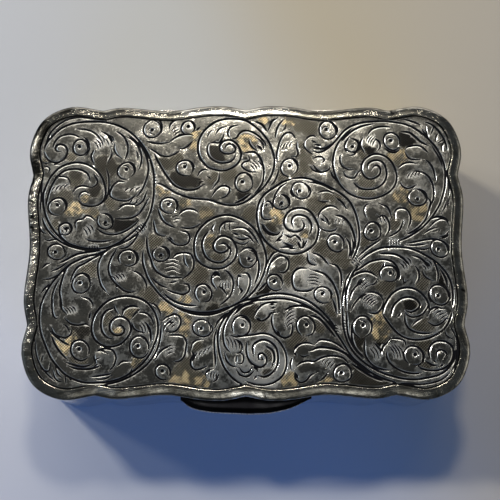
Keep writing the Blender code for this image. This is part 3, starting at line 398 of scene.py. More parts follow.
    "upper left scroll: doubled lines": """
30 -31.8 22.3 -30.9 21.7 -30.4 20.6 -30.5 19.3 -31.2 18.2
30 -21.3 19.5 -20.9 18.6 -20.9 17.6
40 -21.3 8.3 -20.2 8.9 -19.5 9.9 -19.1 11.3
30 -39.3 17.1 -38.6 16.8 -38 17.1
30 -39.2 15.9 -38.5 16.3 -37.9 15.8 -38.2 15.1
28 -37.3 16.5 -36.6 16.8 -36 16.6
30 -27 16 -26.5 14.2 -26.4 12.2 -26.6 10.4 -27.3 9
26 -39.2 14.5 -39.3 12 -39.4 9.5 -39.4 7
40 -39.1 6.2 -38.3 4.2 -36.9 2.5 -35.3 1.3 -33.4 0.4 -31 -0.2 -29 -0.4
34 -38.4 1.8 -37.6 1.5 -36.6 1.8 -35.8 1.6
34 -39.2 3.9 -38.9 3.2 -38.1 2.9
""",
    "top: between the scrolls": """
60 -9.8 23.5 -8.9 24.3
34 -15 23.7 -14.7 24.9 -13.8 25.7 -12.8 25.8
30 -12.6 25.9 -11.6 26.1 -10.4 26
60 -2.1 8.9 -0.4 9.7 1.1 10.9
50 2.2 20.6 2.9 20 3.2 19.4
34 11.6 21.6 12.4 22.4 13.2 22.5 13.8 22.1
34 11.6 21.6 11.3 20.5 11.8 19.6 12.5 19 13.1 18.7
45 12.9 21.5 13.8 21
45 13.4 20.7 14.7 20.5
40 13.4 20.1 14.5 20
40 12.5 16.3 12.9 15.6 13.8 15.2 15 15.1 16 15.6
50 16.4 15.4 16.7 14.5 17.3 13.7 17.9 13.2
36 6.4 15.8 6.1 14.5 5.5 13.2 4.6 12.2
45 8.9 12.2 8.7 11.1 9.2 10.1
60 3.7 8.2 4.2 8.8
40 12.2 13.1 13.8 12.9 15.4 12.3 16.7 11.4
34 13.9 10.9 14.8 11.3 16 11.3 17 10.7
50 14 10.1 14.5 10.5
""",
    "upper right corner": """
45 30.9 25.9 32.6 25.4 34.1 24.7
40 35 25.4 36.5 24.7 37.9 23.2 38.8 21.4 39.3 19.3
45 35.1 9.9 35.6 9.1 35.3 7.9 34.9 6.9
48 26.9 20.1 27.8 19.3 29 19.1 30 19.7
36 18.6 21.2 19.9 22.7 21.3 23.8 23.2 24.6 25.2 25
45 38.9 9.8 39 8.9 38.7 8
28 38.9 15.6 39.1 13.9 39.2 11.8 39.1 10.2
45 17.4 24.9 17.9 23.9 17.7 22.8
""",
    "middle: small cuts": """
22 -15.2 -2.2 -13.8 -1.9 -12.8 -2.4
22 -15.4 -3 -13.9 -2.6 -12.7 -3.2
22 -15.4 -3.8 -13.9 -3.3 -12.6 -4
22 -15.3 -4.6 -13.8 -4.1 -12.5 -4.8
60 -2.5 3 -1.4 2.6
55 -2 2.1 -0.7 1.7 0.6 2
60 -6.2 -5.6 -5.5 -5 -4.9 -5.5
60 -1.4 -5.2 -0.8 -5.6
60 -1.3 -7.6 -0.7 -8.2 -1.2 -8.8
60 6 1.4 6.9 1.7
70 7.6 2.6 8.7 2
60 7.2 1.1 8.1 0.6 9.2 0.4
60 8.2 0.1 9.4 -0.1
55 9.9 1.3 10.4 0.3
55 10.9 1.6 11 0.6 10.7 -0.1
45 9.4 2.6 10.2 2 10.5 1.3
50 3.2 4.8 3.9 3.5 5 2.8 6.1 2.8
80 2.2 -8.4 3.2 -7.4 3.9 -6.6
50 11.8 -1 11.7 -2.2 12.3 -3.1 13.4 -3.3
60 12.9 -2.2 13.3 -2.6
""",
    "middle right: small cuts": """
60 14.4 5.9 15.2 5.2
46 20.2 1.9 20.55 0.8 20.4 -0.6 19.9 -1.8
44 35.2 5.6 36.6 6.2 38 6 38.9 5.3
45 37 1.9 38 2.1 38.9 2.7
40 32.5 -0.1 34 -0.25 35.1 0.1
30 26.4 -2.6 25.6 -4.4
50 34.9 -7.6 34.5 -9.1 35 -10.6
60 16.3 -9.8 16.8 -11.2 17.1 -12.8
""",
    "lower left corner": """
34 -36.9 -15.6 -35.4 -17 -33.9 -18.1 -32.9 -18.5
40 -33.6 -21.7 -32 -22.2 -30.2 -22.5 -28.6 -22.1
36 -28 -24.9 -26.3 -24.8 -24.9 -24.2
34 -32.9 -24.4 -32.3 -25.3
30 -33.6 -24.2 -33.4 -25.6
40 -15.9 -14.5 -16.1 -17.4 -16.8 -19.8 -18.4 -22.1 -20.7 -23.9 -23.4 -25.2 -26.3 -25.9
40 -27.9 -19.7 -27 -19.4 -26 -20
""",
    "bottom: small cuts": """
45 -15.5 -8.7 -14.2 -9.8 -12.6 -10.6 -10.8 -11 -9.3 -11.1
50 -13.2 -11.2 -11.5 -11.9 -9.5 -12.3 -7.2 -12.4 -5 -12 -3.2 -11.2
55 -2 -12.5 -1.2 -11.6 0 -10.9 1.6 -10.6
50 4.4 -10.9 5.4 -10.8
50 4.6 -11.6 5.6 -11.4
60 1.9 -13.4 2.8 -13.8
80 5.8 -15.8 6.4 -16.6
90 9 -19.9 9.5 -20.7
90 9.2 -23.8 9.7 -24.8
50 3.6 -18.6 5 -19.6 5.3 -21.3 4.7 -22.8
70 2.8 -20.8 3.3 -21.4
36 -1.3 -20 -0.6 -20.2 -0.4 -21.2 -0.8 -22 -1.5 -22
60 1.2 -22.6 2 -22.9 2.2 -23.5
60 2 -24.2 1.5 -24.9
60 -10.2 -19.6 -9.7 -20.4 -9.9 -21.6
60 12 -12.9 13.7 -13.5 15.3 -15.2 16.8 -17.1
""",
    "lower right: small cuts": """
60 24.7 -10.8 25.1 -11.3
60 34.9 -21.4 35.5 -21.9
60 36 -22.6 36.8 -22.2
70 33.6 -21.6 34.6 -22.3 35.6 -22.5
60 19.6 -22 21.4 -23.2 23.3 -24.4 25.6 -25.3
30 38 -23.7 39.2 -21.6 39.5 -19 39.4 -16.5
""",
}

# Berries: right, back and radius in millimetres.
BERRIES = """
-32.1 20.2 1.6
-23.05 15.45 1.75
-18.2 24 1.9
-11.7 16 1.7
-0.35 13.1 1.9
8.5 16.1 1.8
10.6 11.5 1.8
-11.2 24.2 1.4
16 23.7 1.8
20.7 20.5 1.5
28.5 21.4 1.75
33 10 1.8
-36.1 8.3 1.8
-34.5 3.8 1.3
-27 5.3 1.6
-36 -0.6 1.7
-22.3 -1.9 1.8
-31.1 -6.7 1.9
-16.2 -1.1 1.6
-14.7 8.5 1.7
0.35 -1.9 1.9
-8 -8.7 1.75
5.5 -6.6 1.6
6.8 9.1 1.6
24.25 3.4 1.8
17.2 1.1 1.75
36.9 0 1.8
27.2 -5 1.75
36.5 -9 2
14.6 -9 1.7
-30.9 -19.4 1.9
-19.9 -18.8 2
-15.4 -23.5 1.5
-8.2 -15.25 1.8
-0.85 -14.95 1.9
11.25 -15 1.9
21.9 -15.1 2
31.4 -20.6 1.9
18 -23.7 1.8
"""
# Shading: the first and the last cut's middle, how many, how long, and their angle.
SHADING_CUTS = """
-29.1 20.6 -27.9 21.9 5 2.2 -58
-27 21.2 -26 22 3 2 -58
-37 11.8 -34.7 12.2 6 1.6 50
-23 11.5 -20.8 11.7 7 1.5 42
-22 9.2 -20.8 9.4 4 1.5 50
-35.1 3.4 -34 3.9 4 1.3 -50
-30.6 3.2 -29.5 4 4 1.9 -60
-29.7 0.3 -28.2 0.3 5 0.8 90
-20.9 3.1 -19.4 4.5 5 1.7 -45
-17.7 14.6 -17.5 12.8 5 1 0
23.9 21.9 25.1 21.2 6 2 58
31.6 14.4 33.7 14.9 6 1.5 58
18.4 18.2 19.1 18.6 3 1.5 60
1.2 16.1 2.6 16.9 6 2 -50
6.9 20.3 8.8 20.7 7 1.6 62
-13.9 23.9 -13 22.5 4 1.7 35
-4.8 -7.2 -3.2 -7.2 5 1.5 90
-3.9 4.3 -3 4.3 3 2 90
-8.9 13.6 -8.3 12.4 4 1.3 25
-13.3 5.1 -13.3 6.3 4 1.3 10
17.3 5.3 18.7 5.2 5 1.1 70
12.9 -7.1 12.9 -5.3 6 2.3 -8
5 -3.5 6.7 -3.1 5 1.2 40
25.6 5.9 27.1 5.6 7 1.6 -60
27.3 1.1 29.4 1.1 7 1.1 90
27.6 0.1 29.2 0.1 5 0.5 90
21.1 -1.6 20.3 -2.9 4 0.9 -40
21.9 -2.3 21 -3.5 4 1 -40
29.7 -3.5 31 -2.4 5 1.9 -55
33.9 -3.8 35 -2.9 4 1.5 -55
21.6 -6.4 22.8 -7.7 4 2 42
22.3 -9.4 24.2 -10.9 6 2.2 40
-33.8 -12.1 -32.4 -11.6 6 1.5 -50
-27.9 -22.4 -27.7 -21.2 5 1.5 35
-19.7 -15.4 -18.7 -14.9 4 2.3 -65
-14.6 -13.8 -13.6 -15 4 1.6 40
-14.2 -20.1 -14.2 -18.8 5 1.7 25
-9.3 -20.5 -6.9 -19.4 9 1.6 62
-6.9 -24 -5.4 -24.2 5 1.6 78
-3.5 -18 -1.5 -18.4 7 2.5 -72
8.3 -12.1 8.3 -14.8 6 2.4 37
14.5 -21.5 16 -22.5 5 1.6 50
35.8 -12 37.6 -13.9 5 1.9 30
23.6 -20.2 24.8 -19.7 5 2.8 -66
27.2 -19.9 28.8 -19.7 6 3.2 -66
17.1 -16 16.8 -14.9 5 1.1 -15
18.5 -16.1 18.4 -14 6 0.9 0
-25 -5.8 -23.3 -5.3 6 1.5 -48
"""
# Ground: a seed, how far it spreads, and how strongly it is painted with a golden glint of the light, or
# below zero how dark it is painted: dark oxide, and in places painted shade under leaves.
GROUND_SEEDS = """
-33 7.5 1.35 0.9
-36.5 4.2 1 0.5
-29.5 6.9 1.1 0.7
-26 9.3 1.3 0.4
-16 11.5 1.3 0.8
-26.7 15.8 1.9 -0.5
-27.3 13 1.3 -0.4
-29 11.7 1.2 -0.6
-32.6 15.2 1.1 -0.5
-23 4.3 2.6 -0.8
-34 18.2 0.9 0.6
-38.8 17.6 0.8 0.6
-33 13.6 1.5 -0.3
-35 10.2 1.5 -0.4
-30.9 9.9 0.9 0.9
-6 18.6 2 -0.6
0.4 21.3 1.8 0.9
-9.8 22.6 1.1 0.9
-9.9 20.5 1 0.8
-5.3 13.6 1.5 0
-3.3 14.8 1.3 0
-13.4 17.6 1.4 -0.25
-16 16.8 1.4 -0.4
-12.5 13.6 2 -0.6
-9.5 12.8 1 -0.6
-0.5 10.3 1.1 -0.7
-28 17.2 1 -0.5
3.6 25.8 0.9 1
8.4 25.6 1.2 1
10.8 25.3 1.5 0.2
12.5 24 1.3 0
11.4 19.2 1.7 0
11.6 16.5 1.5 0
10 14.9 1.2 0.3
6.9 14.2 1.1 0.3
13.4 8.4 1.8 0
6.2 6.2 1.4 1
11.1 2.9 1 0.9
9 1.6 1.1 0
16.6 10.8 1.6 0
14.3 -0.4 1.7 0
18 -2.2 1.6 0.2
23.2 10 1.7 0
22.5 1.9 1.2 0
28.3 5 1.1 0
33 7.4 2 0.8
30 10.4 1.4 0.9
29.6 18.3 1.8 0.8
22.6 19.1 1.2 0
23.2 12.8 1.5 0
31.5 22 1.7 -0.9
24.5 -3.6 1.5 0.3
33.4 -6.4 1.5 0
37.6 -6.3 2 -1
24.3 19.5 0.7 -0.8
4.6 4 1.1 -0.5
3 -7.7 1.6 -0.9
-6 -11.9 1.2 -0.6
26.6 -7.4 1.6 0.2
25.3 -15 2.3 1
25.2 -13 1.2 1
33 -15 1.8 0.5
31.4 -11.2 1.2 0
25.6 -17.8 1.4 0.4
21.2 -18.8 2.2 -0.6
33.5 -18.7 1.4 0
33.6 -22 1.4 0
16.7 -11.3 1.7 0
13.6 -14.9 1.4 0
9.6 -17.8 1.7 0.2
14.9 -25.1 1.1 1
8 -25.2 1.4 1
-6.8 1.5 1.4 0.8
-5.5 -1.9 1.1 0.4
-9 -5.5 2 0.2
-1.7 -3.6 1.4 0
5 -0.2 1.1 0.2
4 -7 1 0.2
8.4 -6.2 1.4 0
9.8 -2.4 1.6 0
0.9 6.8 1.2 0
-7.6 6.9 1.3 0.7
-11.8 9.1 1.1 0.8
-17.3 1.4 1.4 0.5
-35 -18 2.2 1
-32.6 -17.3 1.1 0.9
-31 -15.8 2 -0.6
-21.6 -12.1 1.3 0.7
-24.2 -16 1 0.9
-26 -13.6 1.1 0.3
-20.2 -21.8 1.3 0.7
-31 -21.8 1.6 0.5
-15 -11.2 1.4 1
-11.6 -10.2 1.3 1
-12 -15.7 1.5 0.9
-9.8 -18.4 1.3 0.4
-12.4 -24.7 1.6 0.9
-9.8 -24.4 1.6 0.6
-8 -25.5 1.2 0.9
0.9 -12.2 1.5 -0.5
2.4 -15.3 1.3 0
4.9 -20.5 1.3 -0.3
3.9 -23.8 0.9 -0.5
-11 -22.5 2 0.2
-11.8 -13.6 1.3 1
14.8 -14.6 2.4 -1
30.9 -11.2 1.1 -0.7
25.6 -18.2 1.2 -1
22.5 -24.6 3 -0.5
26 -25.6 2 -0.5
-29.8 -4.2 1.6 0.3
-20.6 0.8 1.1 0.4
-18.4 -9.3 1.6 0.4
"""
# Painted glints and patches: places, how far they reach, and how much lighter they are painted, or below zero
# duller. The small ones are painted glints; the broad ones are lighter and duller patches of the flats.
PAINTED_GLINTS_AND_PATCHES = """
9.5 3.5 8 0.8
17 2 7 0.3
1 -21 12 0.7
13 -6 7 0.6
-12 -14 8 0.7
-9 22 11 -0.5
-4 14 9 -0.45
-13 7 9 -0.35
10 23 8 -0.5
-26 12 9 -0.35
25 24 9 -0.3
-20 25 9 -0.3
41 -5 9 -0.3
-4 4 8 -0.45
-3 3 16 -0.15
4 -25 9 0.8
1 -9 10 0.5
12 -7 8 0.5
14 -4 5 0.4
-11.8 -10.6 3 1.2
3.5 -16.7 2.2 1.1
7.6 -22.5 2.6 1.2
8.3 -8.8 3.4 0.8
11.2 12.2 2.2 1.1
8.7 17 1.7 1
15 17.3 2.2 0.8
11.5 -4.4 3 0.9
12.2 -0.8 2 0.9
15 -8.4 2 0.9
8.3 1.8 3.2 1.3
13.7 6.1 1.6 1
4.1 -11.7 1.9 1
-0.1 -6.2 2 0.9
-3.7 -3.7 1.4 0.9
-19.6 25.3 1.8 0.9
-0.5 -14.2 1.7 1
0.9 -24.3 2 1
36 -15.8 1.4 1
36.9 -24.2 2.2 1
36.8 -12.4 1.4 1
-20.6 23.4 1.6 0.9
-28.2 22.2 1.6 1
-9.7 22 1.3 0.9
-10.5 25 1.4 1
-2.6 20.3 1.5 0.8
-3.7 12 1.2 0.9
-7.2 14.8 1.3 0.8
24.5 21 2.4 0.9
33.5 12.5 2 0.7
20 14 1.6 0.8
-24 -20 2 0.7
-16 -17 1.8 0.8
-33 -9 2 0.6
-30 6 1.5 0.8
"""
# Marks of the rim: both ends, the width, the depth, and how black it is painted, or below zero how much
# lighter. A row with depth is a nick when dark, and a dent painted lighter when below zero. A row without
# depth is painted light: the dark stretches along the left and the back are painted shade, and the lighter
# one along the back is a painted glare.
RIM_NICKS_AND_PAINTED_LIGHT = """
-41.2 15.5 -40.2 24 2.6 0 0.62
-40 24.5 -34.5 28.2 2.4 0 0.5
-41.4 -24 -41.3 15.2 2.6 0 0.42
14 27.8 27 28.4 2.6 0 0.4
-42.2 12 -41.2 14.6 2.2 0 0.3
-42 14.1 -41.3 13.4 0.55 0.16 1
-41.7 11.3 -41.2 11 0.42 0.04 0.8
-41.6 9.5 -40.6 9 0.28 0.03 0.6
-41.5 8.8 -40.8 8.3 0.26 0.02 0.4
-41.1 6.3 -40.7 6 0.42 0.04 0.8
-41 4.2 -40.7 3.8 0.38 0.04 0.9
-41.6 1.3 -39.8 1.6 0.24 0.02 0.6
-27.2 -26.6 -24.8 -27.2 1.1 0.03 -0.8
-2.2 -27.9 3.4 -27.8 1.0 0.02 -0.9
3.2 -27.2 3.5 -28.3 0.40 0.06 0.8
5 -27 5.4 -28.2 0.36 0.05 0.6
28.3 28.2 28.9 27 0.42 0.07 0.8
29.3 28 29.5 27.2 0.36 0.05 0.6
41.4 -8.3 40.8 -8 0.42 0.06 0.7
-15.4 27.9 -14.8 27.1 0.36 0.02 0.5
-29.5 27.2 -28.3 27 0.40 0.05 0.5
-12 27.3 8 27.6 1.3 0 -0.7
"""


class Body(Enum):
    """The two bodies that the hinge joins."""

    BOX = "box"
    LID = "lid"


class Slot(Enum):
    """The finishes that the record names."""

    ENGRAVED = "engraved_silver"
    RIM = "rim_silver"
    POLISHED = "polished_silver"
    INNER = "inner_silver"
    HINGE = "hinge_silver"


class Wave(Enum):
    """Which way the fine lines of a hatching run."""

    RISING = 45.0
    FALLING = -45.0


@dataclass
class Palette:
    """A material under construction: its nodes, and the short ways to add and join them."""

    name: str
    material: Finish = field(init=False)

    def __post_init__(self) -> None:
        """Start an empty node material."""
        self.material = bpy.data.materials.new(self.name)
        self.material.use_nodes = True
        self.tree = self.material.node_tree
        self.tree.nodes.clear()

    def node(self, kind: str, **settings: object) -> bpy.types.Node:
        """Add a node.

        Args:
            kind: the node's type without the prefix.
            settings: its properties.

        Returns:
            The new node.
        """
        added = self.tree.nodes.new("ShaderNode" + kind)
        for name, value in settings.items():
            setattr(added, name, value)
        return added

    def feed(self, socket: Socket, value: object) -> None:
        """Join a socket to another node's output, or set it to a plain value.

        Args:
            socket: the input that is fed.
            value: a socket, a number or a colour.
        """
        if isinstance(value, Socket):
            self.tree.links.new(value, socket)
        elif isinstance(value, tuple) and len(value) == 3 and socket.type == "RGBA":
            socket.default_value = (*value, 1.0)
        else:
            socket.default_value = value

    def attribute(self, name: str) -> Socket:
        """The value that the piece's mesh carries under a name."""
        return self.node("Attribute", attribute_name=name).outputs["Fac"]

    def maths(self, operation: str, first: object, second: object = 0.0) -> Socket:
        """Combine two values.

        Args:
            operation: the operation's name.
            first: a socket or a number.
            second: a socket or a number.

        Returns:
            The result's socket.
        """
        added = self.node("Math", operation=operation)
        self.feed(added.inputs[0], first)
        self.feed(added.inputs[1], second)
        return added.outputs[0]

    def ramp(self, value: object, low: float, high: float, start: float = 0.0, end: float = 1.0) -> Socket:
        """Ease a value from start to end while it runs from low to high.

        Args:
            value: the socket that drives it.
            low: where the change begins.
            high: where it is over.
            start: the result at and before low.
            end: the result at and after high.

        Returns:
            The result's socket.
        """
        added = self.node("MapRange", interpolation_type="SMOOTHSTEP")
        for place, part in enumerate((value, low, high, start, end)):
            self.feed(added.inputs[place], part)
        return added.outputs[0]

    def mix(self, share: object, first: object, second: object) -> Socket:
        """Blend two colours.

        Args:
            share: how much of the second colour shows.
            first: a socket or a colour.
            second: a socket or a colour.

        Returns:
            The blended colour's socket.
        """
        added = self.node("Mix", data_type="RGBA")
        self.feed(added.inputs[0], share)
        self.feed(added.inputs[6], first)
        self.feed(added.inputs[7], second)
        return added.outputs[2]

    def place(self, turn: float = 0.0, stretch: Triple = (1.0, 1.0, 1.0)) -> Socket:
        """The piece's own coordinates, turned about the upright and stretched.

        Args:
            turn: the angle in degrees.
            stretch: a factor along each axis.

        Returns:
            The vector's socket.
        """
        source = self.node("TexCoord").outputs["Object"]
        if turn == 0.0 and stretch == (1.0, 1.0, 1.0):
            return source
        turned = self.node("Mapping")
        turned.inputs["Rotation"].default_value = (0.0, 0.0, math.radians(turn))
        self.feed(turned.inputs["Vector"], source)
        scaled = self.node("Mapping")
        scaled.inputs["Scale"].default_value = stretch
        self.feed(scaled.inputs["Vector"], turned.outputs[0])
        return scaled.outputs[0]

    def cloud(self, scale: float, detail: float = 3.0, vector: object = None, rough: float = 0.5) -> Socket:
        """Soft random variation.

        Args:
            scale: features to a metre.
            detail: how many finer layers it has.
            vector: the coordinates, or none for the piece's own.
            rough: how strong the finer layers are.

        Returns:
            The value's socket, about 0.5 on average.
        """
        added = self.node("TexNoise")
        self.feed(added.inputs["Vector"], vector or self.place())
        self.feed(added.inputs["Scale"], scale)
        self.feed(added.inputs["Detail"], detail)
        self.feed(added.inputs["Roughness"], rough)
        return added.outputs["Fac"]

    def lines(self, pitch: float, turn: float, waver: float = 0.6) -> Socket:
        """Parallel fine cuts.

        Args:
            pitch: the distance from cut to cut.
            turn: the angle of the cuts' spacing in degrees.
            waver: how unsteady the hand is.

        Returns:
            The value's socket: 0 in a cut and 1 between two.
        """
        added = self.node("TexWave", wave_type="BANDS", bands_direction="X", wave_profile="SIN")
        self.feed(added.inputs["Vector"], self.place(turn))
        self.feed(added.inputs["Scale"], 2.0 * math.pi / 20.0 / pitch)
        self.feed(added.inputs["Distortion"], waver)
        self.feed(added.inputs["Detail Scale"], 0.35)
        return added.outputs["Fac"]

    def bump(self, height: object, distance: float, after: object = None) -> Socket:
        """Raise the surface by a value.

        Args:
            height: the value's socket.
            distance: the height of a step from 0 to 1.
            after: the normal of an earlier bump.

        Returns:
            The normal's socket.
        """
        added = self.node("Bump")
        self.feed(added.inputs["Height"], height)
        self.feed(added.inputs["Distance"], distance)
        if after is not None:
            self.feed(added.inputs["Normal"], after)
        return added.outputs[0]

    def finish(
        self,
        colour: object,
        roughness: object,
        metallic: object,
        normal: object = None,
        gloss: float = 0.5,
    ) -> Finish:
        """Close the material with one shader.

        Args:
            colour: the base colour.
            roughness: the roughness.
            metallic: the metallic share.
            normal: the bumped normal, if there is one.
            gloss: the specular level where the surface isn't metallic.

        Returns:
            The finished material.
        """
        shader = self.node("BsdfPrincipled")
        self.feed(shader.inputs["Base Color"], colour)
        self.feed(shader.inputs["Roughness"], roughness)
        self.feed(shader.inputs["Metallic"], metallic)
        shader.inputs["Specular IOR Level"].default_value = gloss
        if normal is not None:
            self.feed(shader.inputs["Normal"], normal)
        output = self.node("OutputMaterial")
        self.tree.links.new(shader.outputs[0], output.inputs["Surface"])
        return self.material


@dataclass(frozen=True)
class EngravedSilver:
    """Tarnished silver: black in the cut bottoms, a hatched ground, painted highlights on the cut shoulders,
    painted glints, and painted shade on some of the ground.
    """

    tarnish: Triple = (0.122, 0.121, 0.113)
    worn_and_lit: Triple = (0.57, 0.56, 0.525)
    highlight_silver: Triple = (0.97, 0.96, 0.93)
    black: Triple = (0.008, 0.008, 0.009)
    ground: Triple = (0.15, 0.14, 0.11)
    painted_glint: Triple = (0.90, 0.75, 0.48)
    dim_painted_glint: Triple = (0.14, 0.105, 0.06)
    underside: Triple = (0.76, 0.68, 0.47)
    under_dull: Triple = (0.60, 0.56, 0.47)
    hatch_pitch: float = 0.00038

    def material(self) -> Finish:
        """Build the finish from the sheet's attributes: the cut share, the side painted lighter, the ground,
        the painted glint, the underside and the painted sheen.

        Returns:
            The finished material.
        """
        made = Palette("engraved_silver_finish")
        cut = made.attribute("cut")
        side = made.attribute("painted_lit_side")
        ground = made.attribute("ground")
        painted_glint = made.attribute("painted_glint")
        patches = made.cloud(160.0, 4.0)
        specks = made.cloud(2300.0, 3.0, rough=0.7)
        brushed = made.cloud(1.0, 4.0, made.place(24.0, (3600.0, 420.0, 1.0)))
        crossed = made.cloud(1.0, 3.0, made.place(-58.0, (3000.0, 330.0, 1.0)))
        wear_and_painted_sheen = made.maths("ADD", made.ramp(patches, 0.34, 0.68), made.ramp(brushed, 0.42, 0.75, -0.25, 0.35))
        wear_and_painted_sheen = made.maths("ADD", wear_and_painted_sheen, made.ramp(specks, 0.36, 0.62, -0.55, 0.4))
        wear_and_painted_sheen = made.maths("ADD", wear_and_painted_sheen, made.ramp(made.cloud(520.0, 3.0), 0.36, 0.66, -0.55, 0.6))
        # The attribute adds painted sheen near the cuts and between shading cuts, painted glints, and broader
        # lighter and duller patches.
        polish = made.attribute("polish")
        wear_and_painted_sheen = made.maths("ADD", wear_and_painted_sheen, polish)
        flat = made.mix(wear_and_painted_sheen, self.tarnish, self.worn_and_lit)
        # Painted glints and sheen: where the sheen is strongest the flats are painted near white.
        painted_shine = made.maths("ADD", polish, made.maths("MULTIPLY", wear_and_painted_sheen, 0.25))
        flat = made.mix(made.ramp(painted_shine, 0.6, 1.35, 0.0, 0.95), flat, self.highlight_silver)
        rising = made.ramp(made.lines(self.hatch_pitch, Wave.RISING.value), 0.1, 0.6, 0.08, 1.0)
        falling = made.ramp(made.lines(self.hatch_pitch, Wave.FALLING.value), 0.05, 0.5, 0.35, 1.0)
        woven = made.maths("MULTIPLY", rising, falling)
        # Painted reflection: where a seed gives the ground a value above zero, the hatching is painted
        # golden, a glint of the light on it.
        gold_tone = made.mix(woven, self.dim_painted_glint, self.painted_glint)
        dull = made.mix(woven, self.black, made.mix(0.75, flat, self.ground))
        lit = made.maths("MULTIPLY", made.ramp(painted_glint, 0.55, 1.0), made.ramp(made.cloud(700.0, 3.0), 0.42, 0.6))
        hatched = made.mix(lit, dull, gold_tone)
        # Below zero the ground is painted black: dark oxide, and in places painted shade under leaves.
        hatched = made.mix(made.ramp(painted_glint, -0.8, -0.05, 0.92, 0.0), hatched, self.black)
        surface = made.mix(ground, flat, hatched)
        # Painted highlight: the shoulders beside the cuts are painted near white, most on one side and in
        # patches; partly the polished edge of the cut.
        burr_highlight = made.mix(made.ramp(made.cloud(420.0, 3.0), 0.36, 0.56), self.worn_and_lit, self.highlight_silver)
        broken = made.ramp(made.cloud(300.0, 2.0), 0.34, 0.48, 0.4, 1.0)
        raised = made.maths("MULTIPLY", made.ramp(cut, 0.02, 0.12), broken)
        raised = made.maths("MULTIPLY", raised, made.ramp(side, 0.2, 0.75, 0.16, 1.0))
        painted_lit_side = made.mix(raised, surface, burr_highlight)
        waver = made.maths("SUBTRACT", made.cloud(900.0, 2.0), 0.5)
        grime = made.maths("ADD", cut, made.maths("MULTIPLY", waver, 0.25))
        dark = made.ramp(grime, 0.34, 0.47)
        under = made.attribute("under")
        wash = made.mix(made.ramp(patches, 0.38, 0.66), self.underside, self.under_dull)
        colour = made.mix(under, made.mix(dark, painted_lit_side, self.black), wash)
        hairline = made.maths("MULTIPLY", crossed, 0.4)
        hairline = made.maths("ADD", made.maths("MULTIPLY", brushed, 0.6), hairline)
        rough = made.maths("ADD", made.maths("MULTIPLY", dark, 0.5), made.maths("MULTIPLY", ground, 0.12))
        roughness = made.maths("ADD", made.ramp(patches, 0.3, 0.7, 0.29, 0.2), rough)
        normal = made.bump(hairline, 0.000010)
        normal = made.bump(specks, 0.000024, normal)
        normal = made.bump(made.maths("MULTIPLY", woven, ground), 0.000015, normal)
        return made.finish(colour, roughness, made.ramp(dark, 0.3, 1.0, 1.0, 0.2), normal, 0.06)


@dataclass(frozen=True)
class WornSilver:
    """Silver with scratches, tarnish clouds and a brush mark along one way."""

    name: str
    light: Triple
    dull: Triple
    smooth: float
    rough: float
    scratch: float = 0.000006
    cloudiness: float = 220.0
    turn: float = 15.0
    pitting: float = 0.0
    scuff_and_highlight: Triple = (0.78, 0.77, 0.73)

    def material(self) -> Finish:
        """Build the finish.

        Returns:
            The finished material.
        """
        made = Palette(self.name)
        patches = made.cloud(self.cloudiness, 5.0)
        lines = made.cloud(1.0, 4.0, made.place(self.turn, (6500.0, 380.0, 380.0)))
        across = made.cloud(1.0, 3.0, made.place(self.turn + 70.0, (5200.0, 300.0, 300.0)))
        tarnish = made.ramp(made.maths("ADD", patches, made.maths("MULTIPLY", lines, 0.3)), 0.5, 0.82)
        colour = made.mix(tarnish, self.light, self.dull)
        if self.pitting > 0.0:
            pits = made.ramp(made.cloud(1500.0, 3.0, rough=0.65), 0.66, 0.72, 0.0, self.pitting)
            colour = made.mix(pits, colour, tuple(0.12 * part for part in self.dull))
            # The mesh's marks: above zero nicks and painted shade, painted dark; below zero painted
            # highlights, painted glare and lighter dents.
            nicks_and_painted_light = made.attribute("nicks_and_painted_light")
            colour = made.mix(made.ramp(nicks_and_painted_light, 0.15, 0.7), colour, tuple(0.06 * part for part in self.dull))
            rubbed = made.ramp(lines, 0.35, 0.6, 0.3, 1.0)
            scuffs_and_highlights = made.maths("MULTIPLY", made.ramp(nicks_and_painted_light, -0.7, -0.05, 1.0, 0.0), rubbed)
            colour = made.mix(scuffs_and_highlights, colour, self.scuff_and_highlight)
        roughness = made.ramp(patches, 0.3, 0.7, self.smooth, self.rough)
        hairline = made.maths("ADD", made.ramp(lines, 0.3, 0.5), made.ramp(across, 0.28, 0.45))
        return made.finish(colour, roughness, 1.0, made.bump(hairline, self.scratch))


@dataclass(frozen=True)
class PaleTable:
    """The pale table top that the box stands on, painted lighter towards the left and the front and browner
    towards the right and the back, as the light falls there.
    """

    colour: Triple = (0.49, 0.505, 0.525)
    painted_lit_side: Triple = (0.575, 0.58, 0.59)
    painted_dim_warm_side: Triple = (0.46, 0.415, 0.33)
    roughness: float = 0.6

    def material(self) -> Finish:
        """Build the finish.

        Returns:
            The finished material.
        """
        made = Palette("pale_table_finish")
        across = made.node("SeparateXYZ")
        made.feed(across.inputs[0], made.place())
        # Painted light: lighter towards the left and the front, browner towards the right and the back.
        painted_light_drift = made.maths("ADD", across.outputs[0], made.maths("MULTIPLY", made.cloud(14.0, 2.0), 0.02))
        painted_light_drift = made.maths("ADD", painted_light_drift, made.maths("MULTIPLY", across.outputs[1], 0.4))
        colour = made.mix(made.ramp(painted_light_drift, -0.065, -0.02), self.painted_lit_side, self.colour)
        colour = made.mix(made.ramp(painted_light_drift, 0.01, 0.055), colour, self.painted_dim_warm_side)
        return made.finish(colour, self.roughness, 0.0)


def smooth_run(chain: Ring, step: float, least: int) -> Ring:
    """Points on a smooth curve from a chain's second place up to its last but one, which is left out.

    Args:
        chain: the places in order; the first and the last only steer the curve.
        step: the distance between two points.
        least: the fewest points between two places.

    Returns:
        The points in order.
    """
    points: Ring = []
    for first, start, end, last in zip(chain, chain[1:], chain[2:], chain[3:]):
        steps = max(least, round((end - start).length / step))
        leaving = start + (end - first) / 6.0
        arriving = end - (last - start) / 6.0
        points.extend(geometry.interpolate_bezier(start, leaving, arriving, end, steps + 1)[:-1])
    return points


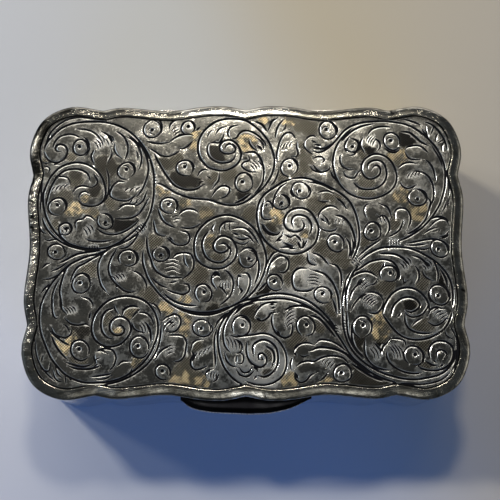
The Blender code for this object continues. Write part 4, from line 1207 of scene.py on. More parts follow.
@dataclass(frozen=True)
class Cartouche:
    """The outline that all the shells follow, as shares of half its width and half its depth."""

    width: float = 0.0840
    depth: float = 0.0576
    step: float = 0.0006
    long_side: tuple = (
        (0.000, 0.972), (0.103, 1.000), (0.208, 0.993),
        (0.358, 0.964), (0.565, 0.989), (0.664, 0.967),
    )
    lobe: tuple = ((0.664, 0.967), (0.816, 0.993), (0.944, 0.897), (1.000, 0.695), (0.980, 0.507))
    short_side: tuple = ((0.980, 0.507), (1.000, 0.327), (0.983, 0.000))

    def knots(self, shares: Iterable[tuple[float, float]]) -> Ring:
        """The places that the shares stand for."""
        return [Vector((x * self.width / 2.0, y * self.depth / 2.0)) for x, y in shares]

    def run(self, knots: Ring, after: Vector | None = None) -> Ring:
        """Points on a smooth curve through the knots, all but the last.

        Args:
            knots: the places it runs through.
            after: a knot past the end, where it goes on beyond it.

        Returns:
            The points in order.
        """
        chain = [2.0 * knots[0] - knots[1], *knots, after or 2.0 * knots[-1] - knots[-2]]
        return smooth_run(chain, self.step, 2)

    def edge(self) -> Ring:
        """The rim's outer edge, anticlockwise from the middle of the right side.

        Returns:
            The edge's points in order.
        """
        side = self.knots(self.short_side)
        below = Vector((side[-2].x, -side[-2].y))
        quarter = self.run(self.knots(self.long_side)) + self.run(self.knots(self.lobe))
        quarter += [*self.run(side, after=below), side[-1]]
        quarter = [Vector((min(p.x, self.width / 2.0), min(p.y, self.depth / 2.0))) for p in quarter]
        upper = quarter[::-1] + [Vector((-p.x, p.y)) for p in quarter[1:]]
        return upper + [Vector((-p.x, -p.y)) for p in upper[1:-1]]

    def inset(self, amount: float) -> Ring:
        """The outline moved inwards, mitred at its notches and cusps.

        Args:
            amount: how far it moves.

        Returns:
            As many points as the edge has.
        """
        ring = self.edge()
        moved: Ring = []
        for before, point, after in zip(ring[-1:] + ring[:-1], ring, ring[1:] + ring[:1]):
            arriving = (point - before).normalized()
            leaving = (after - point).normalized()
            first = Vector((-arriving.y, arriving.x))
            second = Vector((-leaving.y, leaving.x))
            mitre = (first + second) / (1.0 + first.dot(second))
            moved.append(point + amount * mitre)
        return moved

    def front_at(self, x: float, amount: float) -> float:
        """How far the inset outline stands in front of the middle.

        Args:
            x: the place across.
            amount: the inset.

        Returns:
            The distance towards the front.
        """
        front = sorted((p.x, p.y) for p in self.inset(amount) if p.y < 0.0)
        for (x0, y0), (x1, y1) in zip(front, front[1:]):
            if x0 <= x <= x1:
                return -(y0 + (y1 - y0) * (x - x0) / (x1 - x0))
        raise ValueError("the place lies outside the outline")


class Bench:
    """The hand tools: what a piece is started, drawn out, closed and finished with."""

    @staticmethod
    def clear() -> None:
        """Leave object mode clean, with nothing selected."""
        bpy.ops.object.select_all(action="DESELECT")

    @staticmethod
    def only(piece: Piece) -> None:
        """Select one piece and make it active.

        Args:
            piece: the one to work on.
        """
        Bench.clear()
        piece.select_set(True)
        bpy.context.view_layer.objects.active = piece

    @staticmethod
    def loft(name: str, rings: Sequence[Sequence[Vector]], closed: bool = False) -> Piece:
        """Draw a ring out through others, from a primitive circle by extruding its edges.

        Args:
            name: the piece's name.
            rings: rings of as many points each.
            closed: the last ring is bridged to the first; otherwise both ends get a face.

        Returns:
            The piece.
        """
        Bench.clear()
        count = len(rings[0])
        bpy.ops.mesh.primitive_circle_add(vertices=count, radius=0.01)
        piece = bpy.context.object
        piece.name = name
        piece.data.name = name
        for vertex, point in zip(piece.data.vertices, rings[0]):
            vertex.co = point
        bpy.ops.object.mode_set(mode="EDIT")
        bpy.ops.mesh.select_mode(type="VERT")
        bpy.ops.mesh.select_all(action="SELECT")
        place = {index: index for index in range(count)}
        for ring in rings[1:]:
            bpy.ops.mesh.extrude_edges_move()
            shape = bmesh.from_edit_mesh(piece.data)
            fresh = [vertex for vertex in shape.verts if vertex.select]
            shape.verts.index_update()
            drawn: dict[int, int] = {}
            for vertex in fresh:
                beside = [edge.other_vert(vertex) for edge in vertex.link_edges]
                partner = next(other for other in beside if not other.select)
                drawn[vertex.index] = place[partner.index]
            for vertex in fresh:
                vertex.co = ring[drawn[vertex.index]]
            place = drawn
            bmesh.update_edit_mesh(piece.data)
        if closed:
            bpy.ops.mesh.select_all(action="DESELECT")
            bpy.ops.mesh.select_non_manifold()
            bpy.ops.mesh.bridge_edge_loops()
        else:
            bpy.ops.mesh.edge_face_add()
            bpy.ops.mesh.select_all(action="DESELECT")
            bpy.ops.mesh.select_non_manifold()
            bpy.ops.mesh.edge_face_add()
        bpy.ops.mesh.select_all(action="SELECT")
        bpy.ops.mesh.normals_make_consistent(inside=False)
        bpy.ops.object.mode_set(mode="OBJECT")
        return piece

    @staticmethod
    def apply(piece: Piece, kind: str, **settings: object) -> None:
        """Put a modifier on the piece and apply it.

        Args:
            piece: what it works on.
            kind: the modifier's type.
            settings: its properties.
        """
        Bench.only(piece)
        modifier = piece.modifiers.new(kind.title(), kind)
        for name, value in settings.items():
            setattr(modifier, name, value)
        bpy.ops.object.modifier_apply(modifier=modifier.name)

    @staticmethod
    def take_away(piece: Piece, low: Vector, high: Vector) -> None:
        """Cut a block out of the piece.

        Args:
            piece: what is cut.
            low: the block's lowest corner.
            high: its highest corner.
        """
        Bench.clear()
        bpy.ops.mesh.primitive_cube_add(size=1.0, location=(low + high) / 2.0, scale=high - low)
        block = bpy.context.object
        Bench.apply(piece, "BOOLEAN", operation="DIFFERENCE", solver="EXACT", object=block)
        bpy.data.objects.remove(block, do_unlink=True)

    @staticmethod
    def smooth(piece: Piece, angle: float = 35.0) -> None:
        """Shade round stretches smooth and keep real edges crisp."""
        Bench.only(piece)
        bpy.ops.object.shade_smooth_by_angle(angle=math.radians(angle))

    @staticmethod
    def hand_in(piece: Piece, body: Body, slot: Slot, material: Finish, *nodes: str) -> None:
        """Dress a piece, set it on its body and hide the solids that it replaces.

        Args:
            piece: the finished piece.
            body: what it moves with.
            slot: the record's finish; not used.
            material: its look.
            nodes: the solids that it replaces.
        """
        piece.data.materials.clear()
        piece.data.materials.append(material)
        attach(piece, body.value)
        if nodes:
            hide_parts(*nodes)
        log.info("%s: %d faces", piece.name, len(piece.data.polygons))

    @staticmethod
    def dress(node: str, material: Finish) -> None:
        """Give a solid that keeps its own mesh its look.

        Args:
            node: the solid's name.
            material: its look.
        """
        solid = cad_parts[node]
        solid.data.materials.clear()
        solid.data.materials.append(material)
        log.info("%s: dressed", node)


@dataclass(frozen=True)
class Stroke:
    """One cut of the graver: its middle line, and its half width at every point of it."""

    points: tuple[Vector, ...]
    halves: tuple[float, ...]
    bevel: float = 0.00013
    tightness: float = 0.0030
    lean: Vector | None = None
    glossy: bool = False
    bends: tuple[float, ...] = ()

    def __post_init__(self) -> None:
        """Note at every point to which side the cut curves: 1 is sharply left, -1 sharply right."""
        count = len(self.points)
        bends = [0.0] if count == 1 else []
        for place in range(count if count > 1 else 0):
            middle = place if count < 5 else min(max(place, 2), count - 3)
            before = self.points[max(middle - 2, -count)]
            after = self.points[min(middle + 2, count - 1)]
            arriving = self.points[middle] - before
            leaving = after - self.points[middle]
            spread = arriving.length * leaving.length * (after - before).length
            turn = arriving.x * leaving.y - arriving.y * leaving.x
            curve = 2.0 * turn / spread if spread > 0.0 else 0.0
            bends.append(max(-1.0, min(1.0, curve * self.tightness)))
        object.__setattr__(self, "bends", tuple(bends))

    def shoulder(self, half: float, favour: float) -> float:
        """How wide the shoulder is, wider on the side that is painted lighter as a highlight.

        Args:
            half: the cut's half width there.
            favour: 1 on the inside of a sharp bend, where the graver leans, and -1 on its outside.

        Returns:
            The shoulder's width.
        """
        return min(self.bevel, 0.62 * half) * (1.0 + 0.7 * favour)

    @staticmethod
    def through(knots: Sequence[Vector], width: float, step: float, bevel: float = 0.00013) -> "Stroke":
        """A smooth cut through the knots that swells from its tip and runs out to nothing.

        Args:
            knots: the places it runs through.
            width: its greatest width.
            step: the distance between two points.
            bevel: how far its shoulder reaches beyond that width.

        Returns:
            The cut.
        """
        chain = [2.0 * knots[0] - knots[1], *knots, 2.0 * knots[-1] - knots[-2]]
        points = smooth_run(chain, step, 1) + [knots[-1]]
        along = [0.0]
        for before, point in zip(points, points[1:]):
            along.append(along[-1] + (point - before).length)
        total = along[-1]
        run_out = min(1.3 * MM, 0.42 * total)
        halves = []
        for reach in along:
            tip = min(reach, total - reach) / run_out
            share = 0.25 + 0.75 * math.sqrt(min(1.0, tip))
            halves.append(width / 2.0 * share)
        return Stroke(tuple(points), tuple(halves), bevel)


@dataclass
class Ornament:
    """The scrollwork of the lid, as marked out in the rows above."""

    step: float = 0.00044
    core: float = 1.12
    fine: float = 30.0
    broad: float = 52.0
    shading_pitch: float = 0.46
    shading_cut: float = 0.29 * MM
    ring_cut: float = 0.34 * MM
    dark_cut: float = 0.36 * MM
    curl_cut: float = 0.22 * MM
    pit: float = 0.36 * MM
    large_berry: float = 1.55 * MM
    strokes: list[Stroke] = field(default_factory=list)

    @staticmethod
    def numbers(text: str) -> Iterable[list[float]]:
        """The rows of a text as numbers.

        Args:
            text: the rows; a line that starts with two blanks goes on with the row above.

        Returns:
            Each row's numbers in turn.
        """
        for row in text.replace("\n  ", " ").strip().splitlines():
            yield [float(part) for part in row.split()]

    def mark_out(self) -> None:
        """Turn all the rows into cuts."""
        for text in SCROLL_ROWS.values():
            for width, *places in self.numbers(text):
                knots = [Vector((x * MM, y * MM)) for x, y in zip(places[::2], places[1::2])]
                width = min(width, self.fine + 0.5 * (min(width, self.broad) - self.fine))
                self.strokes.append(Stroke.through(knots, self.core * width * MM / 100.0, self.step))
        for x, y, radius in self.numbers(BERRIES):
            self.berry(Vector((x * MM, y * MM)), radius * MM)
        for row in self.numbers(SHADING_CUTS):
            self.shading(*row)

    def berry(self, centre: Vector, radius: float) -> None:
        """A round berry: a ring with a dark side, a pit and, in a large one, a curl out of the pit.

        Args:
            centre: its middle.
            radius: the ring's radius.
        """
        twist = 0.7 * noise.noise(Vector((centre.x * 900.0, centre.y * 900.0, 3.1)))
        angle = 9.0 * twist
        knots = []
        for place in range(10):
            turn = angle + 0.3 + math.tau * 0.94 * place / 9.0
            swell = radius * (0.93 + 0.07 * math.sin(2.0 * turn + 40.0 * twist) + 0.012 * place)
            knots.append(centre + Vector((swell * math.cos(turn), swell * math.sin(turn))))
        self.strokes.append(Stroke.through(knots, self.ring_cut, self.step))
        dark_side = math.radians(25.0) + 0.9 * twist
        knots = []
        for place in range(5):
            turn = dark_side + math.radians(26.0 * (place - 2.0))
            knots.append(centre + 0.87 * radius * Vector((math.cos(turn), math.sin(turn))))
        self.strokes.append(Stroke.through(knots, self.dark_cut, self.step, bevel=0.06 * MM))
        lean = Vector((math.cos(angle), math.sin(angle)))
        self.strokes.append(Stroke((centre - 0.16 * radius * lean,), (self.pit,), 0.12 * MM, lean=lean))
        if radius > self.large_berry:
            curl = []
            for place in range(4):
                turn = angle + math.radians(100.0 + 38.0 * place)
                curl.append(centre + (0.3 + 0.13 * place) * radius * Vector((math.cos(turn), math.sin(turn))))
            self.strokes.append(Stroke.through(curl, self.curl_cut, 0.3 * MM))

    def shading(
        self, x0: float, y0: float, x1: float, y1: float, count: float, length: float, angle: float
    ) -> None:
        """A run of short parallel cuts that shade a leaf or tie a stem.

        Args:
            x0: where the first cut's middle is, in millimetres across.
            y0: the same, in millimetres back.
            x1: where the last cut's middle is, across.
            y1: the same, back.
            count: how many cuts there are.
            length: how long the longest is, in millimetres.
            angle: their direction in degrees.
        """
        way = Vector((math.cos(math.radians(angle)), math.sin(math.radians(angle))))
        aside = Vector((-way.y, way.x))
        apart = abs((x1 - x0) * way.y - (y1 - y0) * way.x)
        count = min(int(count), 1 + int(apart / self.shading_pitch))
        for place in range(count):
            share = place / max(1.0, count - 1.0)
            middle = Vector((x0 + (x1 - x0) * share, y0 + (y1 - y0) * share)) * MM
            half = 0.5 * length * MM * (0.72 + 0.28 * math.sin(math.pi * (share * 0.8 + 0.1)))
            bow = 0.10 * length * MM * aside
            knots = [middle - half * way, middle + bow, middle + half * way]
            line = Stroke.through(knots, self.shading_cut, 0.4 * MM)
            self.strokes.append(Stroke(line.points, line.halves, 0.03 * MM, tightness=0.0, glossy=True))


@dataclass
class LidPanel:
    """The engraved top sheet of the lid: real grooves in a sheet that swells between them."""

    outline: Cartouche
    ornament: Ornament
    top: float = 0.0225
    sheet: float = 0.0010
    inset: float = 0.00236
    seam_inset: float = 0.00202
    seam_depth: float = 0.0003
    lattice: float = 0.00062
    slope: float = 0.85
    bevel_slope: float = 0.52
    swell: float = 0.000016
    swell_reach: float = 0.0003
    unevenness: float = 0.00002
    reach: float = 0.0005
    clearance: float = 0.00036
    row_share: float = 0.866
    pit_corners: int = 10
    edge_painted_sheen: float = 0.85
    base_sheen_offset: float = -0.46
    shading_land_painted_sheen: float = 0.70
    shaded_reach: float = 0.0005
    shaded_bright: float = 0.45
    open_below: float = 0.3
    verts: list[Vector] = field(default_factory=list)
    edges: list[tuple[int, int]] = field(default_factory=list)

    def chain(self, first: int, count: int, closed: bool = False) -> None:
        """Join a run of new points into a line that the sheet's faces respect.

        Args:
            first: the first point's place in the list.
            count: how many points there are.
            closed: the line runs back to its first point.
        """
        self.edges.extend((first + i, first + i + 1) for i in range(count - 1))
        if closed:
            self.edges.append((first + count - 1, first))

    def lay_cut(self, stroke: Stroke) -> None:
        """Lay a cut's middle line, its two edges and the shoulders outside them on the sheet.

        Args:
            stroke: the cut.
        """
        points = stroke.points
        if stroke.lean is not None:
            self.lay_pit(stroke)
            return
        last = len(points) - 1
        sides: list[Ring] = [[], [], [], []]
        for place, (point, half, bend) in enumerate(zip(points, stroke.halves, stroke.bends)):
            before = points[place - 1] if place else point
            after = points[place + 1] if place < last else point
            way = (after - before).normalized()
            aside = Vector((-way.y, way.x))
            left = half + stroke.shoulder(half, bend)
            right = half + stroke.shoulder(half, -bend)
            for side, reach in zip(sides, (half, -half, left, -right)):
                side.append(point + reach * aside)
        start = len(self.verts)
        self.verts.extend(points)
        self.chain(start, len(points))
        for side in sides:
            start = len(self.verts)
            self.verts.extend(side)
            self.chain(start, len(side))

    def lay_pit(self, stroke: Stroke) -> None:
        """Lay a round pit's middle, its edge and the shoulder round it on the sheet.

        Args:
            stroke: the pit, a cut of one point.
        """
        middle = stroke.points[0]
        half = stroke.halves[0]
        self.verts.append(middle)
        for beyond in (0.0, 1.0):
            start = len(self.verts)
            for corner in range(self.pit_corners):
                turn = math.tau * corner / self.pit_corners
                way = Vector((math.cos(turn), math.sin(turn)))
                shoulder = beyond * stroke.shoulder(half, way.dot(stroke.lean))
                self.verts.append(middle + (half + shoulder) * way)
            self.chain(start, self.pit_corners, closed=True)

    def lay_lattice(self, middles: kdtree.KDTree) -> None:
        """Lay points between the cuts, so that the sheet can swell there.

        Args:
            middles: the middles of the pieces of all the cuts.
        """
        rim = self.outline.inset(self.inset + 0.0003)
        across = int(self.outline.width / self.lattice)
        back = int(self.outline.depth / (self.lattice * self.row_share))
        for row in range(-back // 2, back // 2 + 1):
            for column in range(-across // 2, across // 2 + 1):
                x = (column + 0.5 * (row % 2)) * self.lattice
                point = Vector((x, row * self.lattice * self.row_share))
                if not inside(point, rim):
                    continue
                if middles.find((point.x, point.y, 0.0))[2] < self.clearance:
                    continue
                self.verts.append(point)

    def depth_at(self, point: Vector, segments: list, tree: kdtree.KDTree) -> Triple:
        """How deep the cuts are at a place, and how much its side is painted lighter as a highlight.

        Args:
            point: the place on the sheet.
            segments: both ends, both half widths, the bend and the cut of every piece of a cut.
            tree: the middles of the pieces.

        Returns:
            A share that is 0 outside, 0.5 at a cut's edge and 1 in its middle; the depth; and how much the
            side is painted lighter as a highlight, from 0 to 1.
        """
        share = 0.0
        depth = 0.0
        painted_lit_side = 0.5
        for _, index, _ in tree.find_range((point.x, point.y, 0.0), self.reach):
            start, end, half_start, half_end, bend, stroke = segments[index]
            way = end - start
            along = max(0.0, min(1.0, (point - start).dot(way) / max(way.length_squared, 1e-12)))
            half = half_start + (half_end - half_start) * along
            offset = point - start - along * way
            away = offset.length
            if stroke.lean is not None:
                favour = stroke.lean.dot(offset) / max(away, half)
            else:
                favour = math.copysign(min(1.0, away / half), way.x * offset.y - way.y * offset.x) * bend
            bevel = stroke.shoulder(half, favour)
            if away < half:
                here = 1.0 - 0.5 * away / half
                depth = max(depth, self.bevel_slope * bevel + self.slope * (half - away))
            elif away < half + bevel + 0.000001:
                here = 0.5 * (half + bevel - away) / bevel + 0.000001
                depth = max(depth, self.bevel_slope * (half + bevel - away))
            else:
                continue
            # The side painted lighter as a highlight: the inside of a bend, or a fixed share along shading
            # cuts.
            if here > share:
                share = here
                painted_lit_side = self.shaded_bright if stroke.glossy else 0.5 + 0.5 * favour
        return share, depth, painted_lit_side

    def pieces_of_cuts(self) -> tuple[list, kdtree.KDTree]:
        """Break every cut into straight pieces.

        Returns:
            Both ends, both half widths, the bend and the cut of every piece; the tree of their middles.
        """
        segments = []
        for stroke in self.ornament.strokes:
            times = 2 if len(stroke.points) == 1 else 1
            points = stroke.points * times
            halves = stroke.halves * times
            for piece in zip(points, points[1:], halves, halves[1:], stroke.bends):
                segments.append((*piece, stroke))
        tree = kdtree.KDTree(len(segments))
        for index, (start, end, *_) in enumerate(segments):
            middle = (start + end) / 2.0
            tree.insert((middle.x, middle.y, 0.0), index)
        tree.balance()
        return segments, tree

    def build(self) -> Piece:
        """Triangulate the sheet along every cut and sink the cuts into it.

        Returns:
            The closed sheet with attributes for the cut share, the side painted lighter, the ground, the
            painted glint, the underside and the painted sheen.
        """
        rim = self.outline.inset(self.inset)
        self.verts.extend(rim)
        border = list(range(len(rim)))
        for stroke in self.ornament.strokes:
            self.lay_cut(stroke)
        segments, tree = self.pieces_of_cuts()
        self.lay_lattice(tree)
        log.info("lid panel: %d cuts, %d points", len(self.ornament.strokes), len(self.verts))
        laid = geometry.delaunay_2d_cdt(self.verts, self.edges, [border], 1, 1e-7)
        shape = bmesh.new()
        for name in ("cut", "painted_lit_side", "ground", "painted_glint", "under", "polish"):
            shape.verts.layers.float.new(name)
        cut = shape.verts.layers.float["cut"]
        painted_lit_side = shape.verts.layers.float["painted_lit_side"]
        polish = shape.verts.layers.float["polish"]
        # The painted glints, and the broader lighter and duller patches.
        worn_and_lit = []
        for x, y, reach, much in Ornament.numbers(PAINTED_GLINTS_AND_PATCHES):
            worn_and_lit.append((Vector((x, y)) * MM, reach * MM, much))
        corners = []
        for point in laid[0]:
            share, depth, side = self.depth_at(point, segments, tree)
            _, index, distance = tree.find((point.x, point.y, 0.0))
            clear = max(0.0, distance - 1.6 * segments[index][2])
            rise = 1.0 - math.exp(-clear / self.swell_reach)
            wave = max(0.0, 0.5 - 0.5 * noise.noise(Vector((point.x * 230.0, point.y * 230.0, 7.7))))
            height = self.top - self.swell * (1.0 - rise) - self.unevenness * wave - depth
            corner = shape.verts.new((point.x, point.y, height))
            corner[cut] = share
            corner[painted_lit_side] = side
            # Painted sheen: lighter near the cuts and on the land between shading cuts, then the painted
            # glints and patches.
            shaded = segments[index][-1].glossy and distance < self.shaded_reach
            corner[polish] = self.edge_painted_sheen * (1.0 - rise) + self.base_sheen_offset
            if shaded:
                corner[polish] += self.shading_land_painted_sheen
            for middle, reach, much in worn_and_lit:
                near = max(0.0, 1.0 - (point - middle).length / reach)
                corner[polish] += much * near * near * (3.0 - 2.0 * near)
            corners.append(corner)
        for face in laid[2]:
            shape.faces.new([corners[index] for index in face])
        for corner in [corner for corner in corners if not corner.link_faces]:
            shape.verts.remove(corner)
        shape.normal_update()
        for face in shape.faces:
            if face.normal.z < 0.0:
                face.normal_flip()
        self.hatch(shape)
        self.close(shape)
        mesh = bpy.data.meshes.new("engraved_lid_panel")
        shape.to_mesh(mesh)
        shape.free()
        piece = bpy.data.objects.new("engraved_lid_panel", mesh)
        bpy.context.scene.collection.objects.link(piece)
        Bench.smooth(piece, 17.0)
        return piece

    def hatch(self, shape: bmesh.types.BMesh) -> None:
        """Mark the ground between the scrolls: it spreads from its seeds up to the nearest cuts.

        Args:
            shape: the sheet's top with its cuts.
        """
        cut = shape.verts.layers.float["cut"]
        ground = shape.verts.layers.float["ground"]
        painted_glint = shape.verts.layers.float["painted_glint"]
        shape.faces.ensure_lookup_table()
        shape.faces.index_update()
        open_faces = [face for face in shape.faces if max(v[cut] for v in face.verts) < self.open_below]
        tree = kdtree.KDTree(len(open_faces))
        for face in open_faces:
            middle = face.calc_center_median()
            tree.insert((middle.x, middle.y, 0.0), face.index)
        tree.balance()
        for x, y, radius, warmth in Ornament.numbers(GROUND_SEEDS):
            seed = Vector((x * MM, y * MM, 0.0))
            waiting = [shape.faces[tree.find(seed)[1]]]
            seen = set(waiting)
            while waiting:
                face = waiting.pop()
                middle = face.calc_center_median()
                ragged = radius * MM * (1.08 + 0.5 * noise.noise(Vector((middle.x, middle.y, 0.011)) * 620.0))
                share = min(1.0, (ragged - (middle - seed).to_2d().length) / (0.2 * MM))
                if share <= 0.0 and len(seen) > 1:
                    continue
                for vertex in face.verts:
                    vertex[ground] = max(vertex[ground], share)
                    # Above zero the seed paints a golden glint on the ground; below zero it paints it dark:
                    # oxide, and in places painted shade.
                    if abs(share * warmth) > abs(vertex[painted_glint]):
                        vertex[painted_glint] = share * warmth
                for edge in face.edges:
                    for other in edge.link_faces:
                        if other not in seen and max(v[cut] for v in other.verts) < self.open_below:
                            seen.add(other)
                            waiting.append(other)

    def close(self, shape: bmesh.types.BMesh) -> None:
        """Give the sheet its soldered seam, its edge and its flat underside.

        Args:
            shape: the sheet's top.
        """
        cut = shape.verts.layers.float["cut"]
        ground = shape.verts.layers.float["ground"]
        under = shape.verts.layers.float["under"]
        seam = self.outline.inset(self.seam_inset)
        near = kdtree.KDTree(len(seam))
        for index, point in enumerate(seam):
            near.insert((point.x, point.y, 0.0), index)
        near.balance()
        edges = [edge for edge in shape.edges if edge.is_boundary]
        for height in (self.top - self.seam_depth, self.top - self.sheet):
            drawn = bmesh.ops.extrude_edge_only(shape, edges=edges)["geom"]
            fresh = [item for item in drawn if isinstance(item, bmesh.types.BMVert)]
            for vertex in fresh:
                place = near.find((vertex.co.x, vertex.co.y, 0.0))[0]
                vertex.co = (place.x, place.y, height)
                vertex[cut] = 1.0
            bmesh.ops.remove_doubles(shape, verts=fresh, dist=0.000001)
            edges = [edge for edge in shape.edges if edge.is_boundary]
        below = bmesh.ops.extrude_edge_only(shape, edges=edges)["geom"]
        for vertex in [item for item in below if isinstance(item, bmesh.types.BMVert)]:
            vertex.co.xy *= 0.995
            vertex[cut] = 0.0
            vertex[ground] = 0.0
            vertex[under] = 1.0
        edges = [edge for edge in shape.edges if edge.is_boundary]
        bmesh.ops.triangle_fill(shape, use_beauty=True, use_dissolve=False, edges=edges)
        bmesh.ops.recalc_face_normals(shape, faces=shape.faces)

    def make(self, material: Finish) -> None:
        """Build and dress the sheet."""
        Bench.hand_in(self.build(), Body.LID, Slot.ENGRAVED, material, "lid_panel")


def inside(point: Vector, ring: Ring) -> bool:
    """Whether a place lies inside a closed ring.

    Args:
        point: the place.
        ring: the ring's corners in order.

    Returns:
        True for a place inside.
    """
    within = False
    for first, second in zip(ring, ring[1:] + ring[:1]):
        if (first.y > point.y) != (second.y > point.y):
            if point.x < first.x + (point.y - first.y) / (second.y - first.y) * (second.x - first.x):
                within = not within
    return within


@dataclass(frozen=True)
class LidRim:
    """The rim moulding: a sloped band with softened edges, dents and file marks."""

    outline: Cartouche
    width: float = 0.0020
    top: float = 0.0225
    bottom: float = 0.02145
    fall: float = 0.0004
    soft: float = 0.00022
    unevenness: float = 0.00001

    def profile(self) -> list[tuple[float, float]]:
        """The moulding's section.

        Returns:
            Pairs of inset and height, from the outer foot over the top to the inner foot.
        """
        edge_top = self.top - self.fall
        soft = self.soft
        return [
            (soft, self.bottom),
            (0.35 * soft, self.bottom + 0.25 * soft),
            (0.0, self.bottom + soft),
            (0.0, edge_top - soft),
            (0.12 * soft, edge_top - 0.5 * soft),
            (0.45 * soft, edge_top - 0.15 * soft),
            (1.1 * soft, edge_top + 0.16 * self.fall),
            (0.20 * self.width, edge_top + 0.36 * self.fall),
            (0.32 * self.width, edge_top + 0.55 * self.fall),
            (0.46 * self.width, edge_top + 0.72 * self.fall),
            (0.62 * self.width, edge_top + 0.86 * self.fall),
            (0.78 * self.width, edge_top + 0.96 * self.fall),
            (0.91 * self.width, self.top),
            (0.96 * self.width, self.top - 0.12 * self.fall),
            (0.99 * self.width, self.top - 0.50 * self.fall),
            (self.width, self.top - 0.90 * self.fall),
            (self.width, self.bottom),
        ]

    def dent(self, point: Vector) -> Vector:
        """Move a place of the rim by dents and the unevenness of handwork.

        Args:
            point: the place on the drawn moulding.

        Returns:
            The place on the dented one.
        """
        moved = point.copy()
        if point.z > self.bottom + self.soft:
            ripple = noise.noise(Vector((point.x, point.y, 0.3)) * 200.0)
            moved.z -= self.unevenness * max(0.0, ripple + 0.5)
            for near, depth, _ in self.rim_marks(point):
                moved.z -= depth * near
        return moved

    def rim_marks(self, point: Vector) -> Iterable[Triple]:
        """The rim's marks that reach a place: nicks and dents, and stretches of painted shade and painted
        glare.

        Args:
            point: the place.

        Returns:
            For each mark how near its middle is, from 0 to 1, its depth and how black it is painted, or below
            zero how much lighter.
        """
        for x0, y0, x1, y1, width, depth, black in Ornament.numbers(RIM_NICKS_AND_PAINTED_LIGHT):
            start = Vector((x0, y0)) * MM
            way = Vector((x1, y1)) * MM - start
            along = max(0.0, min(1.0, (point.to_2d() - start).dot(way) / way.length_squared))
            away = (point.to_2d() - start - along * way).length / (width * MM)
            if away < 1.0:
                yield (1.0 - away * away) ** 2, depth * MM, black

    def make(self, material: Finish) -> None:
        """Draw the rim round the outline and dress it.

        Args:
            material: its finish.
        """
        rings = []
        for amount, height in self.profile():
            ring = [Vector((p.x, p.y, height)) for p in self.outline.inset(amount)]
            rings.append([self.dent(point) for point in ring])
        piece = Bench.loft("lid_rim_moulding", rings, closed=True)
        # Carry the marks to the mesh: nicks, dents, the painted shade along the left and the back, and the
        # painted glare along the back.
        nicks_and_painted_light = piece.data.attributes.new("nicks_and_painted_light", "FLOAT", "POINT")
        for vertex, scar in zip(piece.data.vertices, nicks_and_painted_light.data):
            if vertex.co.z > self.bottom + self.soft:
                scar.value = sum(near * black for near, _, black in self.rim_marks(vertex.co))
        Bench.smooth(piece, 40.0)
        Bench.hand_in(piece, Body.LID, Slot.RIM, material, "lid_rim")


@dataclass(frozen=True)
class BentStrip:
    """An upright strip of sheet bent round the outline, with softened edges."""

    outline: Cartouche
    name: str
    inset: float
    bottom: float
    top: float
    sheet: float
    soft: float = 0.00012

    def draw(self) -> Piece:
        """Draw the strip's section round the outline.

        Returns:
            The closed band.
        """
        inner = self.inset + self.sheet
        soft = self.soft
        profile = [
            (self.inset + soft, self.bottom),
            (self.inset, self.bottom + soft),
            (self.inset, self.top - soft),
            (self.inset + soft, self.top),
            (inner - soft, self.top),
            (inner, self.top - soft),
            (inner, self.bottom + soft),
            (inner - soft, self.bottom),
        ]
        rings = []
        for amount, height in profile:
            rings.append([Vector((p.x, p.y, height)) for p in self.outline.inset(amount)])
        return Bench.loft(self.name, rings, closed=True)


@dataclass(frozen=True)
class Shells:
    """The walls of box and lid and the bezel between them."""

    outline: Cartouche
    parting: float = 0.0160
    wall_inset: float = 0.00045
    wall_sheet: float = 0.0008
    bezel_sheet: float = 0.0006
    bezel_fit: float = 0.00015
    lid_gap: float = 0.0001
    lid_top: float = 0.02115
    bezel_low: float = 0.0130
    bezel_high: float = 0.0180
    slot_half: float = 0.02545
    slot_reach: float = 0.0027
    bezel_end: float = 0.021448
    overrun: float = 0.002
    clear_height: float = 0.03

    def make(self, polished: Finish, inner: Finish) -> None:
        """Bend, notch and dress the three strips.

        Args:
            polished: the finish of both walls.
            inner: the finish of the bezel.
        """
        half_gap = self.lid_gap / 2.0
        middle = self.outline.depth / 4.0
        behind = self.outline.depth / 2.0 + self.overrun
        lower_edge = self.parting - half_gap
        upper_edge = self.parting + half_gap
        walls = (
            ("box_wall", Body.BOX, "body_wall", 0.0, lower_edge, self.slot_reach, self.overrun),
            ("lid_wall_strip", Body.LID, "lid_wall", upper_edge, self.lid_top, self.overrun, self.slot_reach),
        )
        for name, body, node, bottom, top, down, up in walls:
            piece = BentStrip(self.outline, name, self.wall_inset, bottom, top, self.wall_sheet).draw()
            low = Vector((-self.slot_half, middle, self.parting - down))
            high = Vector((self.slot_half, behind, self.parting + up))
            Bench.take_away(piece, low, high)
            Bench.smooth(piece)
            Bench.hand_in(piece, body, Slot.POLISHED, polished, node)
        inset = self.wall_inset + self.wall_sheet + self.bezel_fit
        band = BentStrip(
            self.outline, "bezel_strip", inset, self.bezel_low, self.bezel_high, self.bezel_sheet
        )
        piece = band.draw()
        low = Vector((-self.outline.width, self.bezel_end, 0.0))
        high = Vector((self.outline.width, behind, self.clear_height))
        Bench.take_away(piece, low, high)
        Bench.smooth(piece)
        Bench.hand_in(piece, Body.BOX, Slot.INNER, inner, "bezel_band")


